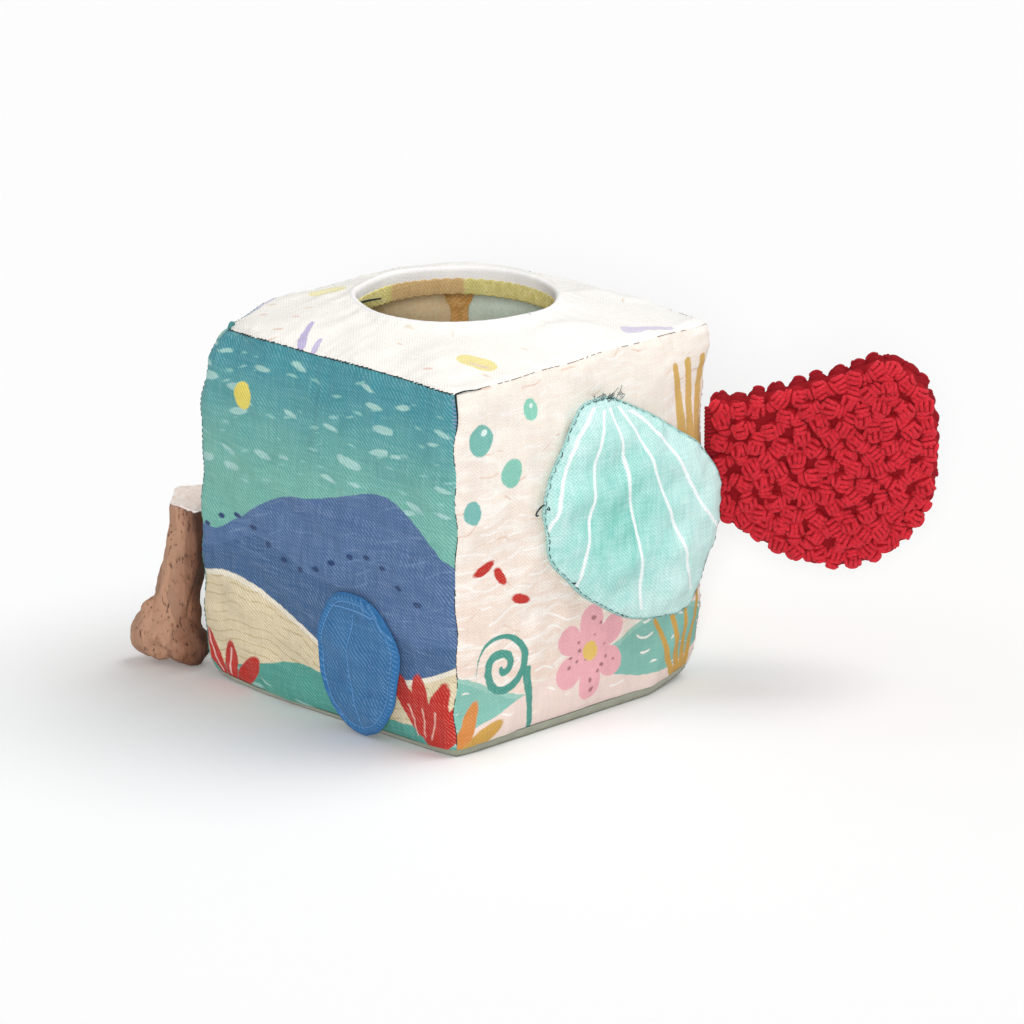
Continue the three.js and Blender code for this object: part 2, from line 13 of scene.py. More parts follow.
import bmesh
import bpy
import numpy as np
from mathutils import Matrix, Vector


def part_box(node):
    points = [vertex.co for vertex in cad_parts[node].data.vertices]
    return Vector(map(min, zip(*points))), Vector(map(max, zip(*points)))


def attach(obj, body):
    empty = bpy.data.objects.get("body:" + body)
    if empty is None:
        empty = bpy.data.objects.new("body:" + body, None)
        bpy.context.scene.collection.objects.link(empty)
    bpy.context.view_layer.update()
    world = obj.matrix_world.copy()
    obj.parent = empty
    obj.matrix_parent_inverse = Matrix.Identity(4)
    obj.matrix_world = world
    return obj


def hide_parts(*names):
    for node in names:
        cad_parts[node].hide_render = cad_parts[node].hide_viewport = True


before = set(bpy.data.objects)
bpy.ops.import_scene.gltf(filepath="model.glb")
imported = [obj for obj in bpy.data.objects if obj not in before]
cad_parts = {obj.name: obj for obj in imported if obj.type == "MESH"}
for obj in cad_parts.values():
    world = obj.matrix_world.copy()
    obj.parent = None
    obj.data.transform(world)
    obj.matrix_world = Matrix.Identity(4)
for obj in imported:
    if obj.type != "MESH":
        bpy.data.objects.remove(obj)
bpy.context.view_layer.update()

log = logging.getLogger("tissue_box")
MM = 0.001
TAU = 2 * math.pi
Array = np.ndarray
Point2 = tuple[float, float]
Vector3 = tuple[float, float, float]


# Small helpers

def srgb(code: str) -> tuple[float, float, float, float]:
    """Turns a written colour into a linear one.

    Args:
        code: Six hexadecimal digits.

    Returns:
        The linear red, green, blue and an alpha of 1.
    """
    shares = [int(code[k:k + 2], 16) / 255 for k in (0, 2, 4)]
    linear = [c / 12.92 if c <= 0.04045 else ((c + 0.055) / 1.055) ** 2.4 for c in shares]
    return (*linear, 1.0)


def clamp(value: Array) -> Array:
    """Limits an array to the span from 0 to 1."""
    return np.clip(value, 0.0, 1.0)


def ease(value: Array) -> Array:
    """A smooth step over the span from 0 to 1."""
    share = clamp(value)
    return share * share * (3 - 2 * share)


def bell(value: Array, width: float) -> Array:
    """A bell curve that is 1 at 0, and small beyond twice the width."""
    return np.exp(-((value / width) ** 2))


def angles(count: int) -> Array:
    """So many angles, evenly spaced round a circle."""
    return np.arange(count) / count * TAU


def lengths(path: Array) -> Array:
    """How far along a path each of its points lies."""
    return np.concatenate([[0], np.cumsum(np.linalg.norm(np.diff(path, axis=0), axis=1))])


def points_along(path: Array, length: Array, spots: Array) -> Array:
    """The points of a path at distances along it, by the distances of its own points."""
    return np.stack([np.interp(spots, length, path[:, k]) for k in range(path.shape[1])], axis=-1)


def grid_faces(rows: int, columns: int, round_columns: bool = False) -> list[tuple[int, int, int, int]]:
    """The faces of a grid of points, which is stored row by row.

    Args:
        rows: How many rows of points there are.
        columns: How many points a row has.
        round_columns: Whether the last column joins the first.

    Returns:
        Four point numbers for each face.
    """
    spans = columns if round_columns else columns - 1
    faces = []
    for row in range(rows - 1):
        for column in range(spans):
            after = (column + 1) % columns
            low, high = row * columns, (row + 1) * columns
            faces.append((low + column, low + after, high + after, high + column))
    return faces


def make_object(name: str, points: Array, faces: Sequence, uvs: Array | None = None) -> bpy.types.Object:
    """Makes a smooth-shaded mesh object from points in millimetres.

    Args:
        name: The object's name.
        points: One row of x, y, z for each point.
        faces: Point numbers for each face.
        uvs: One row of two numbers for each point, kept as the mesh's UV map.

    Returns:
        The object, linked to the scene.
    """
    mesh = bpy.data.meshes.new(name)
    mesh.from_pydata((np.asarray(points) * MM).tolist(), [], [tuple(face) for face in faces])
    if uvs is not None:
        layer = mesh.uv_layers.new(name="along")
        corners = np.zeros(len(mesh.loops), np.int32)
        mesh.loops.foreach_get("vertex_index", corners)
        layer.data.foreach_set("uv", np.asarray(uvs, np.float32)[corners].ravel())
    mesh.shade_smooth()
    mesh.update()
    made = bpy.data.objects.new(name, mesh)
    bpy.context.scene.collection.objects.link(made)
    return made


def face_outwards(piece: bpy.types.Object, join_within: float = 0.0) -> None:
    """Turns the faces of a closed mesh outwards.

    Args:
        piece: The piece.
        join_within: Points nearer than this are joined first, in millimetres.
    """
    shape = bmesh.new()
    shape.from_mesh(piece.data)
    if join_within:
        bmesh.ops.remove_doubles(shape, verts=shape.verts, dist=join_within * MM)
    bmesh.ops.recalc_face_normals(shape, faces=shape.faces)
    shape.to_mesh(piece.data)
    shape.free()
    if join_within:
        piece.data.shade_smooth()


@dataclass(frozen=True)
class Ripples:
    """A seeded sum of smooth waves, as cloth keeps from handling. Lengths and depth are in millimetres."""

    seed: int
    shortest: float
    longest: float
    depth: float
    count: int = 18

    def at(self, u: Array, v: Array) -> Array:
        """The height of the ripples at places on the cloth.

        Args:
            u: The places across.
            v: The places up.

        Returns:
            The heights.
        """
        rng = np.random.default_rng(self.seed)
        total = np.zeros(np.broadcast(u, v).shape)
        for _ in range(self.count):
            turn = rng.uniform(0, TAU)
            length = rng.uniform(self.shortest, self.longest)
            phase = rng.uniform(0, TAU)
            total = total + np.sin((u * math.cos(turn) + v * math.sin(turn)) * TAU / length + phase)
        return self.depth * total / math.sqrt(self.count)


class Strands:
    """Gathers many bent tubes, such as threads, into one mesh. Its UV map runs along and round each tube."""

    def __init__(self, sides: int = 6) -> None:
        """Starts with no tubes.

        Args:
            sides: How many sides each tube has.
        """
        self.sides = sides
        self.points: list[Array] = []
        self.uvs: list[Array] = []
        self.faces: list[tuple[int, ...]] = []
        self.count = 0

    def add(self, path: Array, radius: float | Array, up: Array | None = None, flat: float = 1.0) -> None:
        """Adds one tube.

        Args:
            path: The points of its middle line, in millimetres.
            radius: Its radius, one for all or one for each point.
            up: The direction that its first side faces, where it isn't round.
            flat: Its thickness along up, as a share of its width.
        """
        path = np.asarray(path, float)
        steps = len(path)
        ahead = np.gradient(path, axis=0)
        ahead /= np.linalg.norm(ahead, axis=1, keepdims=True) + 1e-12
        guide = np.array([0.0, 0.0, 1.0]) if up is None else np.asarray(up, float)
        guide = np.broadcast_to(guide, path.shape)
        side = np.cross(ahead, guide)
        weak = np.linalg.norm(side, axis=1) < 1e-3
        side[weak] = np.cross(ahead[weak], [1.0, 0.0, 0.0])
        side /= np.linalg.norm(side, axis=1, keepdims=True) + 1e-12
        rise = np.cross(side, ahead)
        turn = angles(self.sides)
        reach = np.broadcast_to(np.asarray(radius, float), (steps,))[:, None, None]
        cos, sin = np.cos(turn)[None, :, None], np.sin(turn)[None, :, None]
        skin = path[:, None] + (cos * side[:, None] + flat * sin * rise[:, None]) * reach
        length = lengths(path)
        uv = np.stack(np.broadcast_arrays(length[:, None], (turn / TAU)[None]), axis=-1)
        tips = np.stack([
            path[0] - ahead[0] * reach[0, 0, 0] * 0.5,
            path[-1] + ahead[-1] * reach[-1, 0, 0] * 0.5,
        ])
        self.points += [skin.reshape(-1, 3), tips]
        self.uvs += [uv.reshape(-1, 2), np.array([[0.0, 0.5], [length[-1], 0.5]])]
        start = self.count
        end = start + steps * self.sides
        for face in grid_faces(steps, self.sides, True):
            self.faces.append(tuple(start + k for k in face))
        for k in range(self.sides):
            after = (k + 1) % self.sides
            self.faces.append((end, start + after, start + k))
            self.faces.append((end + 1, end - self.sides + k, end - self.sides + after))
        self.count = end + 2

    def build(self, name: str) -> bpy.types.Object:
        """Returns one object that holds all the tubes."""
        return make_object(name, np.concatenate(self.points), self.faces, np.concatenate(self.uvs))


# Shader arithmetic: a field is a number over a surface, and a shade is a material under work

class Field:
    """A number at each point of a surface, as a shader socket with plain arithmetic."""

    def __init__(self, shade: "Shade", socket: bpy.types.NodeSocket) -> None:
        """Keeps the field's source.

        Args:
            shade: The material under work.
            socket: The socket that gives the number.
        """
        self.shade = shade
        self.socket = socket

    def join(self, operation: str, *others: "Field | float") -> "Field":
        """One Math node of this field and others."""
        return self.shade.math(operation, self, *others)

    def __add__(self, other: "Field | float") -> "Field":
        """The sum."""
        return self.join("ADD", other)

    def __sub__(self, other: "Field | float") -> "Field":
        """The difference."""
        return self.join("SUBTRACT", other)

    def __mul__(self, other: "Field | float") -> "Field":
        """The product."""
        return self.join("MULTIPLY", other)

    def __truediv__(self, other: "Field | float") -> "Field":
        """The quotient."""
        return self.join("DIVIDE", other)

    __radd__ = __add__
    __rmul__ = __mul__

    def __rsub__(self, other: float) -> "Field":
        """A number less the field."""
        return self.shade.math("SUBTRACT", other, self)

    def __pow__(self, other: float) -> "Field":
        """The power."""
        return self.join("POWER", other)

    def sin(self) -> "Field":
        """The sine, of an angle in radians."""
        return self.join("SINE")

    def abs(self) -> "Field":
        """The size without the sign."""
        return self.join("ABSOLUTE")

    def low(self, other: "Field | float") -> "Field":
        """The smaller of two."""
        return self.join("MINIMUM", other)

    def high(self, other: "Field | float") -> "Field":
        """The larger of two."""
        return self.join("MAXIMUM", other)

    def clamp(self) -> "Field":
        """Limited to the span from 0 to 1."""
        return self.high(0.0).low(1.0)


class Shade:
    """A material under work: makes its nodes, and ends with one cloth-like surface."""

    def __init__(self, name: str) -> None:
        """Starts an empty material.

        Args:
            name: The material's name.
        """
        self.material = bpy.data.materials.new(name)
        self.material.use_nodes = True
        self.tree = self.material.node_tree
        self.tree.nodes.clear()
        self.spot = self.node("ShaderNodeTexCoord").outputs["Object"]
        scaled = self.node("ShaderNodeVectorMath", operation="SCALE")
        self.tree.links.new(self.spot, scaled.inputs[0])
        scaled.inputs["Scale"].default_value = 1 / MM
        self.place = scaled.outputs[0]
        self.x, self.y, self.z = self.split(self.place)

    def node(self, kind: str, **settings: Any) -> bpy.types.Node:
        """Makes a node with some settings.

        Args:
            kind: The node's type.
            settings: Its settings.

        Returns:
            The node.
        """
        made = self.tree.nodes.new(kind)
        for name, value in settings.items():
            setattr(made, name, value)
        return made

    def feed(self, slot: bpy.types.NodeSocket, value: Any) -> None:
        """Gives an input its value: a field, a socket or a constant.

        Args:
            slot: The input.
            value: Its value.
        """
        if isinstance(value, Field):
            self.tree.links.new(value.socket, slot)
        elif isinstance(value, bpy.types.NodeSocket):
            self.tree.links.new(value, slot)
        else:
            slot.default_value = value

    def math(self, operation: str, *values: Field | float) -> Field:
        """One Math node.

        Args:
            operation: What it works out.
            values: Its inputs.

        Returns:
            The outcome.
        """
        made = self.node("ShaderNodeMath", operation=operation)
        for slot, value in zip(made.inputs, values):
            self.feed(slot, value)
        return Field(self, made.outputs[0])

    def vector(self, u: Field | float, v: Field | float, w: Field | float = 0.0) -> bpy.types.NodeSocket:
        """Three numbers as one vector.

        Args:
            u: The first number.
            v: The second.
            w: The third.

        Returns:
            The vector.
        """
        made = self.node("ShaderNodeCombineXYZ")
        for slot, value in zip(made.inputs, (u, v, w)):
            self.feed(slot, value)
        return made.outputs[0]

    def noise(self, size: float, detail: float = 2.0, at: Any = None, rough: float = 0.5) -> Field:
        """Noise from 0 to 1, around 0.5, whose lumps are about size across.

        Args:
            size: How wide a lump is.
            detail: How many finer layers it has.
            at: The place, where it isn't the surface's own.
            rough: How strong the finer layers are.

        Returns:
            The noise.
        """
        made = self.node("ShaderNodeTexNoise")
        self.feed(made.inputs["Vector"], self.place if at is None else at)
        made.inputs["Scale"].default_value = 1 / size
        made.inputs["Detail"].default_value = detail
        made.inputs["Roughness"].default_value = rough
        return Field(self, made.outputs["Fac"])

    def cells(self, size: float, at: Any = None, spread: float = 1.0, space: str = "3D") -> bpy.types.Node:
        """A Voronoi node whose cells are about size across.

        Args:
            size: How wide a cell is.
            at: The place, where it isn't the surface's own.
            spread: How uneven the cells are.
            space: 3D or 2D.

        Returns:
            The node.
        """
        made = self.node("ShaderNodeTexVoronoi", voronoi_dimensions=space)
        self.feed(made.inputs["Vector"], self.place if at is None else at)
        made.inputs["Scale"].default_value = 1 / size
        made.inputs["Randomness"].default_value = spread
        return made

    def split(self, vector: bpy.types.NodeSocket) -> tuple[Field, Field, Field]:
        """The three numbers of a vector or colour.

        Args:
            vector: The vector or colour.

        Returns:
            Its numbers.
        """
        made = self.node("ShaderNodeSeparateXYZ")
        self.tree.links.new(vector, made.inputs[0])
        first, second, third = (Field(self, out) for out in made.outputs)
        return first, second, third

    def mapped(self) -> tuple[Field, Field, Field]:
        """The two numbers of the mesh's own UV map, and 0."""
        return self.split(self.node("ShaderNodeUVMap", uv_map="along").outputs[0])

    def over(self, under: Any, color: Any, mask: Field | float, blend: str = "MIX") -> bpy.types.NodeSocket:
        """Lays a colour over another where the mask says.

        Args:
            under: The colour below.
            color: The colour on top.
            mask: Where it lies.
            blend: How the two are mixed.

        Returns:
            The colour.
        """
        made = self.node("ShaderNodeMix", data_type="RGBA", blend_type=blend)
        mask_slot, under_slot, color_slot = (made.inputs[k] for k in (0, 6, 7))
        self.feed(mask_slot, mask)
        self.feed(under_slot, under)
        self.feed(color_slot, color)
        return made.outputs[2]

    def grey(self, value: Field) -> bpy.types.NodeSocket:
        """A field as a grey colour, to multiply another by."""
        return self.vector(value, value, value)

    def surface(
        self, color: Any, roughness: Field | float, height: Field | None = None, **extra: Any
    ) -> None:
        """Ends the material with one shader.

        Args:
            color: The base colour, as a socket or a constant.
            roughness: The roughness.
            height: The bump's height in millimetres.
            extra: Constants of the shader's own sockets, with _ for each space of a name.
        """
        shader = self.node("ShaderNodeBsdfPrincipled")
        self.feed(shader.inputs["Base Color"], color)
        self.feed(shader.inputs["Roughness"], roughness)
        for name, value in extra.items():
            shader.inputs[name.replace("_", " ")].default_value = value
        if height is not None:
            bump = self.node("ShaderNodeBump")
            bump.inputs["Strength"].default_value = 1.0
            bump.inputs["Distance"].default_value = MM
            self.feed(bump.inputs["Height"], height)
            self.feed(shader.inputs["Normal"], bump.outputs[0])
        out = self.node("ShaderNodeOutputMaterial")
        self.tree.links.new(shader.outputs[0], out.inputs[0])


# Printed motifs, each a distance in millimetres that is below 0 inside its shape

class Motif(ABC):
    """A printed shape in one colour."""

    color: str

    @abstractmethod
    def distance(self, u: Field, v: Field) -> Field:
        """How far a place lies outside the shape."""


@dataclass(frozen=True)
class Oval(Motif):
    """An oval, by its middle, its half sizes and its turn in degrees."""

    at: Point2
    size: Point2
    color: str
    turn: float = 0.0

    def distance(self, u: Field, v: Field) -> Field:
        """How far a place lies outside the oval, nearly.

        Args:
            u: The place across.
            v: The place up.

        Returns:
            The distance.
        """
        cos, sin = math.cos(math.radians(self.turn)), math.sin(math.radians(self.turn))
        du, dv = u - self.at[0], v - self.at[1]
        along = (du * cos + dv * sin) / self.size[0]
        across = (dv * cos - du * sin) / self.size[1]
        return ((along * along + across * across) ** 0.5 - 1.0) * min(self.size)


@dataclass(frozen=True)
class Stroke(Motif):
    """A brush stroke between two places, with a half width at each."""

    start: Point2
    end: Point2
    color: str
    wide: float = 1.0
    wide_end: float | None = None

    def distance(self, u: Field, v: Field) -> Field:
        """How far a place lies outside the stroke.

        Args:
            u: The place across.
            v: The place up.

        Returns:
            The distance.
        """
        run = (self.end[0] - self.start[0], self.end[1] - self.start[1])
        length2 = run[0] ** 2 + run[1] ** 2
        du, dv = u - self.start[0], v - self.start[1]
        share = ((du * run[0] + dv * run[1]) / length2).clamp()
        away_u, away_v = du - share * run[0], dv - share * run[1]
        away = (away_u * away_u + away_v * away_v) ** 0.5
        end = self.wide if self.wide_end is None else self.wide_end
        return away - (share * (end - self.wide) + self.wide)


@dataclass(frozen=True)
class Hill(Motif):
    """All that lies under a rolling line, which is a level with a few waves (height, length, shift)."""

    level: float
    waves: tuple[tuple[float, float, float], ...]
    color: str

    def distance(self, u: Field, v: Field) -> Field:
        """How far a place lies above the line.

        Args:
            u: The place across.
            v: The place up.

        Returns:
            The distance.
        """
        line = v - self.level
        for height, length, shift in self.waves:
            line = line - ((u - shift) * (TAU / length)).sin() * height
        return line


@dataclass(frozen=True)
class Flower(Motif):
    """A flower of round petals."""

    at: Point2
    radius: float
    petals: int
    color: str

    def distance(self, u: Field, v: Field) -> Field:
        """How far a place lies outside the petals.

        Args:
            u: The place across.
            v: The place up.

        Returns:
            The distance.
        """
        du, dv = u - self.at[0], v - self.at[1]
        away = (du * du + dv * dv) ** 0.5
        lobe = (u.shade.math("ARCTAN2", dv, du) * (self.petals / 2)).sin().abs() ** 0.6
        return away - (lobe * 0.5 + 0.5) * self.radius


@dataclass(frozen=True)
class Curl(Motif):
    """A spiral of so many turns, which grows by a pitch in each."""

    at: Point2
    pitch: float
    turns: float
    color: str
    wide: float = 1.2

    def distance(self, u: Field, v: Field) -> Field:
        """How far a place lies from the spiral line.

        Args:
            u: The place across.
            v: The place up.

        Returns:
            The distance.
        """
        du, dv = u - self.at[0], v - self.at[1]
        away = (du * du + dv * dv) ** 0.5
        turn = u.shade.math("ARCTAN2", dv, du) / TAU
        phase = u.shade.math("FRACT", away / self.pitch - turn)
        line = (phase - 0.5).abs() * self.pitch - self.wide
        return line.high(away - self.turns * self.pitch)


@dataclass(frozen=True)
class Scatter(Motif):
    """Brush dabs strewn between two heights: one in each cell of a grid, each with its own size and slant."""

    cell: Point2
    size: Point2
    band: Point2
    color: str
    slant: float = 0.0
    sway: float = 0.5
    keep: float = 1.0

    def distance(self, u: Field, v: Field) -> Field:
        """How far a place lies outside the dabs, nearly.

        Args:
            u: The place across.
            v: The place up.

        Returns:
            The distance.
        """
        shade = u.shade
        su, sv = u / self.cell[0], v / self.cell[1]
        made = shade.cells(1.0, shade.vector(su, sv), 0.85, "2D")
        middle_u, middle_v, _ = shade.split(made.outputs["Position"])
        chance, lean, left_out = shade.split(made.outputs["Color"])
        du = (su - middle_u) * self.cell[0]
        dv = (sv - middle_v) * self.cell[1] - du * ((lean - 0.5) * self.sway + self.slant)
        along, across = du / self.size[0], dv / self.size[1]
        away = ((along * along + across * across) ** 0.5 - (chance * 0.7 + 0.45)) * min(self.size)
        away = away + (left_out - self.keep).high(0.0) * 1000.0
        return away.high(self.band[0] - v).high(v - self.band[1])


@dataclass(frozen=True)
class Rows(Motif):
    """Thin wavy lines one above the other, broken in places. The waves are as a hill's."""

    pitch: float
    wide: float
    waves: tuple[tuple[float, float, float], ...]
    color: str
    shows: float = 0.5

    def distance(self, u: Field, v: Field) -> Field:
        """How far a place lies from the lines.

        Args:
            u: The place across.
            v: The place up.

        Returns:
            The distance.
        """
        shade = u.shade
        line = Hill(0.0, self.waves, "").distance(u, v)
        away = (shade.math("FRACT", line / self.pitch) - 0.5).abs() * self.pitch - self.wide
        gaps = shade.noise(1.0, 1.0, shade.vector(u / 11.0, v / (self.pitch * 1.3)))
        return away + (gaps - self.shows).high(0.0) * 12.0


@dataclass(frozen=True)
class ShadowArc(Motif):
    """A painted shadow in a part of a ring: the part that lies far enough towards the back."""

    radius: float
    wide: float
    behind: float
    color: str

    def distance(self, u: Field, v: Field) -> Field:
        """How far a place lies from the ring."""
        away = (u * u + v * v) ** 0.5 - self.radius
        return (away.abs() - self.wide).high(self.behind - (v - u))


@dataclass(frozen=True)
class Within(Motif):
    """A motif where it lies within another one."""

    outer: Motif
    inner: Motif
    color: str

    def distance(self, u: Field, v: Field) -> Field:
        """How far a place lies outside of both."""
        return self.outer.distance(u, v).high(self.inner.distance(u, v))


@dataclass(frozen=True)
class Print:
    """A printed cloth: a ground that changes with height, its motifs, and how hand-drawn they look."""

    low: str
    high: str
    turn_at: Point2
    motifs: tuple[Motif, ...]
    wash: float = 0.14
    sway: float = 1.6
    edge: float = 0.45
    bands: str = ""

    def paint(self, u: Field, v: Field) -> bpy.types.NodeSocket:
        """Lays the ground and the motifs over each other.

        Args:
            u: The place across the cloth.
            v: The place up the cloth.

        Returns:
            The print's colour.
        """
        shade = u.shade
        drift = shade.noise(17.0, 1.0)
        fine = shade.noise(3.2, 2.0)
        brush = shade.noise(1.0, 3.0, shade.vector(u / 4.2, v / 1.1), 0.7) - 0.5
        su = u + (drift - 0.5) * (2 * self.sway) + (fine - 0.5) * 0.9
        sv = v + (shade.noise(23.0, 1.0) - 0.5) * (2 * self.sway) + (fine - 0.5) * 0.9
        start, end = self.turn_at
        share = (v - start) / (end - start) + (drift - 0.5) * 0.5 + brush * 0.5
        color = shade.over(srgb(self.low), srgb(self.high), share.clamp())
        if self.bands:
            band = shade.noise(1.0, 2.0, shade.vector(su / 21.0, (sv + (drift - 0.5) * 14.0) / 3.6), 0.6)
            color = shade.over(color, srgb(self.bands), ((band - 0.46) * 5.0).clamp() * 0.75)
        for motif in self.motifs:
            mask = (0.5 - (motif.distance(su, sv) + brush * 0.7) / self.edge).clamp()
            color = shade.over(color, srgb(motif.color), mask)
        cloud = (shade.noise(9.0, 4.0, rough=0.65) - 0.5) * (2 * self.wash) + brush * self.wash + 1.0
        return shade.over(color, shade.grey(cloud), 1.0, "MULTIPLY")


# Finishes, and the materials that they have made

MADE: dict[str, bpy.types.Material] = {}
RAW_COTTON = "f2efe6"


@dataclass(frozen=True)
class Weave:
    """How a cloth is woven: a thread's width and relief in millimetres, and whether its ribs run aslant."""

    pitch: float = 0.64
    depth: float = 0.11
    twill: bool = False
    slub: float = 1.0

    def tone(self, u: Field, v: Field) -> Field:
        """The weave around 0: above it on a raised thread, and below it in a gap.

        Args:
            u: The place across the cloth.
            v: The place up the cloth.

        Returns:
            The weave.
        """
        shade = u.shade
        step = math.pi / self.pitch
        warp = u + (shade.noise(11.0, 1.0) - 0.5) * (4 * self.pitch)
        weft = v + (shade.noise(13.0, 1.0) - 0.5) * (4 * self.pitch)
        if self.twill:
            ribs = ((warp * 0.9 + weft) * step).sin()
            crossing = ((weft - warp * 0.9) * (step * 1.4)).sin()
            cloth = ribs * 0.75 + crossing * 0.25
        else:
            cloth = (warp * step).sin() * (weft * step).sin()
        upright = shade.noise(self.pitch, 1.0, shade.vector(warp, weft * 0.07, 3.0))
        level = shade.noise(self.pitch, 1.0, shade.vector(warp * 0.07, weft, 9.0))
        return cloth * 0.5 + (upright + level - 1.0) * self.slub


FINE_WEAVE = Weave(0.7, 0.06)
MUSLIN_WEAVE = Weave(0.9, 0.16)


class Across(Enum):
    """Which two directions a cloth's threads follow, as signed axes."""

    XZ = ("x", "z")
    YZ = ("y", "z")
    XY = ("x", "y")
    MAPPED = ("", "")

    def pair(self, shade: Shade) -> tuple[Field, Field]:
        """The two fields along the threads. MAPPED reads them from the mesh's UV map, in millimetres.

        Args:
            shade: The material under work.

        Returns:
            The two fields.
        """
        if self is Across.MAPPED:
            return shade.mapped()[:2]
        return getattr(shade, self.value[0]), getattr(shade, self.value[1])


class Finish(ABC):
    """A material that is made once, when it is first asked for."""

    name: str

    def material(self) -> bpy.types.Material:
        """Returns the finish's material.

        Returns:
            The material.
        """
        if self.name not in MADE:
            MADE[self.name] = self.make()
        return MADE[self.name]

    @abstractmethod
    def make(self) -> bpy.types.Material:
        """Makes the material."""


def woven(color: Any, tone: Field, shows: float, weave_shade: float) -> bpy.types.NodeSocket:
    """Lets a cloth's weave show in its colour, with painted shade in the gaps and painted light on the raised
    threads.

    Args:
        color: The cloth's dyed or printed colour.
        tone: The weave, around 0.
        shows: How much of the undyed cotton shows on the raised threads.
        weave_shade: How strong the painted shade in the gaps and the painted light on the raised threads are.

    Returns:
        The colour.
    """
    shade = tone.shade
    raised = shade.over(color, srgb(RAW_COTTON), ((tone - 0.12) * (2.4 * shows)).clamp().low(shows))
    # Painted shade in the gaps and painted light on the raised threads
    return shade.over(raised, shade.grey(tone * weave_shade + 1.0), 1.0, "MULTIPLY")


@dataclass(frozen=True)
class PrintedCotton(Finish):
    """Printed woven cotton."""

    name: str
    printed: Print
    across: Across
    weave: Weave = Weave()
    shows: float = 0.3
    # How strong the weave's painted shade and painted light are
    weave_shade: float = 0.34

    def make(self) -> bpy.types.Material:
        """Makes the material.

        Returns:
            The material.
        """
        shade = Shade(self.name)
        u, v = self.across.pair(shade)
        color = self.printed.paint(u, v)
        tone = self.weave.tone(u, v)
        color = woven(color, tone, self.shows, self.weave_shade)
        shade.surface(color, 0.92, tone * self.weave.depth, Sheen_Weight=0.06, Specular_IOR_Level=0.15)
        return shade.material


@dataclass(frozen=True)
class PlainCloth(Finish):
    """Cloth in one colour, with a second colour in clouds or specks, and a third at a sewn rim.

    The rim is read from the mesh's UV map, whose first number is the distance from the edge in millimetres.
    """

    name: str
    color: str
    other: str
    across: Across = Across.XZ
    weave: Weave = Weave()
    cloud: float = 12.0
    # How strong the weave's painted shade and painted light are
    weave_shade: float = 0.3
    shows: float = 0.12
    rim: str = ""
    rim_width: float = 0.0

    def make(self) -> bpy.types.Material:
        """Makes the material.

        Returns:
            The material.
        """
        shade = Shade(self.name)
        u, v = self.across.pair(shade)
        share = ((shade.noise(self.cloud, 4.0, rough=0.6) - 0.35) * 2.6).clamp()
        color = shade.over(srgb(self.color), srgb(self.other), share)
        if self.rim:
            away, _, _ = shade.mapped()
            color = shade.over(color, srgb(self.rim), ((self.rim_width - away) / 0.4 + 0.5).clamp())
        tone = self.weave.tone(u, v)
        color = woven(color, tone, self.shows, self.weave_shade)
        shade.surface(color, 0.94, tone * self.weave.depth, Sheen_Weight=0.08, Specular_IOR_Level=0.15)
        return shade.material


@dataclass(frozen=True)
class PiecedCloth(Finish):
    """The facing: olive cloth, with a tan piece let in towards the back left."""

    name: str = "pieced_facing"
    color: str = "e8dd98"
    shade_color: str = "d2c678"
    piece: str = "d4b27e"
    weave: Weave = Weave(0.8, 0.12)
    piece_from: float = -34.0
    piece_to: float = 4.0

    def make(self) -> bpy.types.Material:
        """Makes the material.

        Returns:
            The material.
        """
        shade = Shade(self.name)
        along = shade.x + shade.y + (shade.noise(5.0) - 0.5) * 3.0
        share = ((shade.noise(2.4, 3.0) - 0.3) * 2.6).clamp()
        color = shade.over(srgb(self.shade_color), srgb(self.color), share)
        inside = ((along - self.piece_from) / 2.0).clamp() * ((self.piece_to - along) / 2.0).clamp()
        color = shade.over(color, srgb(self.piece), inside * ((shade.y - shade.x) / 8.0).clamp())
        tone = self.weave.tone(along, shade.z)
        color = woven(color, tone, 0.1, 0.22)
        shade.surface(color, 0.94, tone * self.weave.depth, Specular_IOR_Level=0.15)
        return shade.material


@dataclass(frozen=True)
class Suede(Finish):
    """Short-napped suede."""

    name: str = "sage_suede"
    color: str = "a3a791"
    dark: str = "868b76"

    def make(self) -> bpy.types.Material:
        """Makes the material.

        Returns:
            The material.
        """
        shade = Shade(self.name)
        nap = shade.noise(0.55, 4.0, rough=0.75)
        patch = shade.noise(7.0, 3.0)
        share = ((nap - 0.5) * 1.4 + (patch - 0.5) * 1.2 + 0.5).clamp()
        color = shade.over(srgb(self.dark), srgb(self.color), share)
        shade.surface(color, 0.97, nap * 0.22, Sheen_Weight=0.45, Sheen_Roughness=0.6, Specular_IOR_Level=0.1)
        return shade.material


@dataclass(frozen=True)
class Thread(Finish):
    """Twisted thread or yarn, whose plies follow the tube's own UV map. The grooves between the plies are
    painted darker as painted shade, and the colour also differs at random.
    """

    name: str
    color: str
    dark: str
    ply: float = 0.5
    relief: float = 0.06
    sheen: float = 0.2
    fuzz: float = 0.0
    # How much the grooves between the plies are painted darker, as painted shade
    twist: float = 0.45

    def make(self) -> bpy.types.Material:
        """Makes the material.

        Returns:
            The material.
        """
        shade = Shade(self.name)
        along, turn, _ = shade.mapped()
        plies = ((along / self.ply + turn * 2.0) * TAU).sin() * 0.5 + 0.5
        grain = shade.noise(0.3, 3.0, rough=0.7)
        patch = shade.noise(8.0, 2.0)
        # Painted shade in the grooves between the plies, with tone that differs at random
        share = (plies * self.twist + grain * 0.4 + patch * 0.5 + (0.28 - self.twist)).clamp()
        color = shade.over(srgb(self.dark), srgb(self.color), share)
        height = plies * self.relief + grain * (self.relief * 0.8 + self.fuzz)
        shade.surface(
            color, 0.88, height, Sheen_Weight=self.sheen, Sheen_Roughness=0.4, Specular_IOR_Level=0.25
        )
        return shade.material


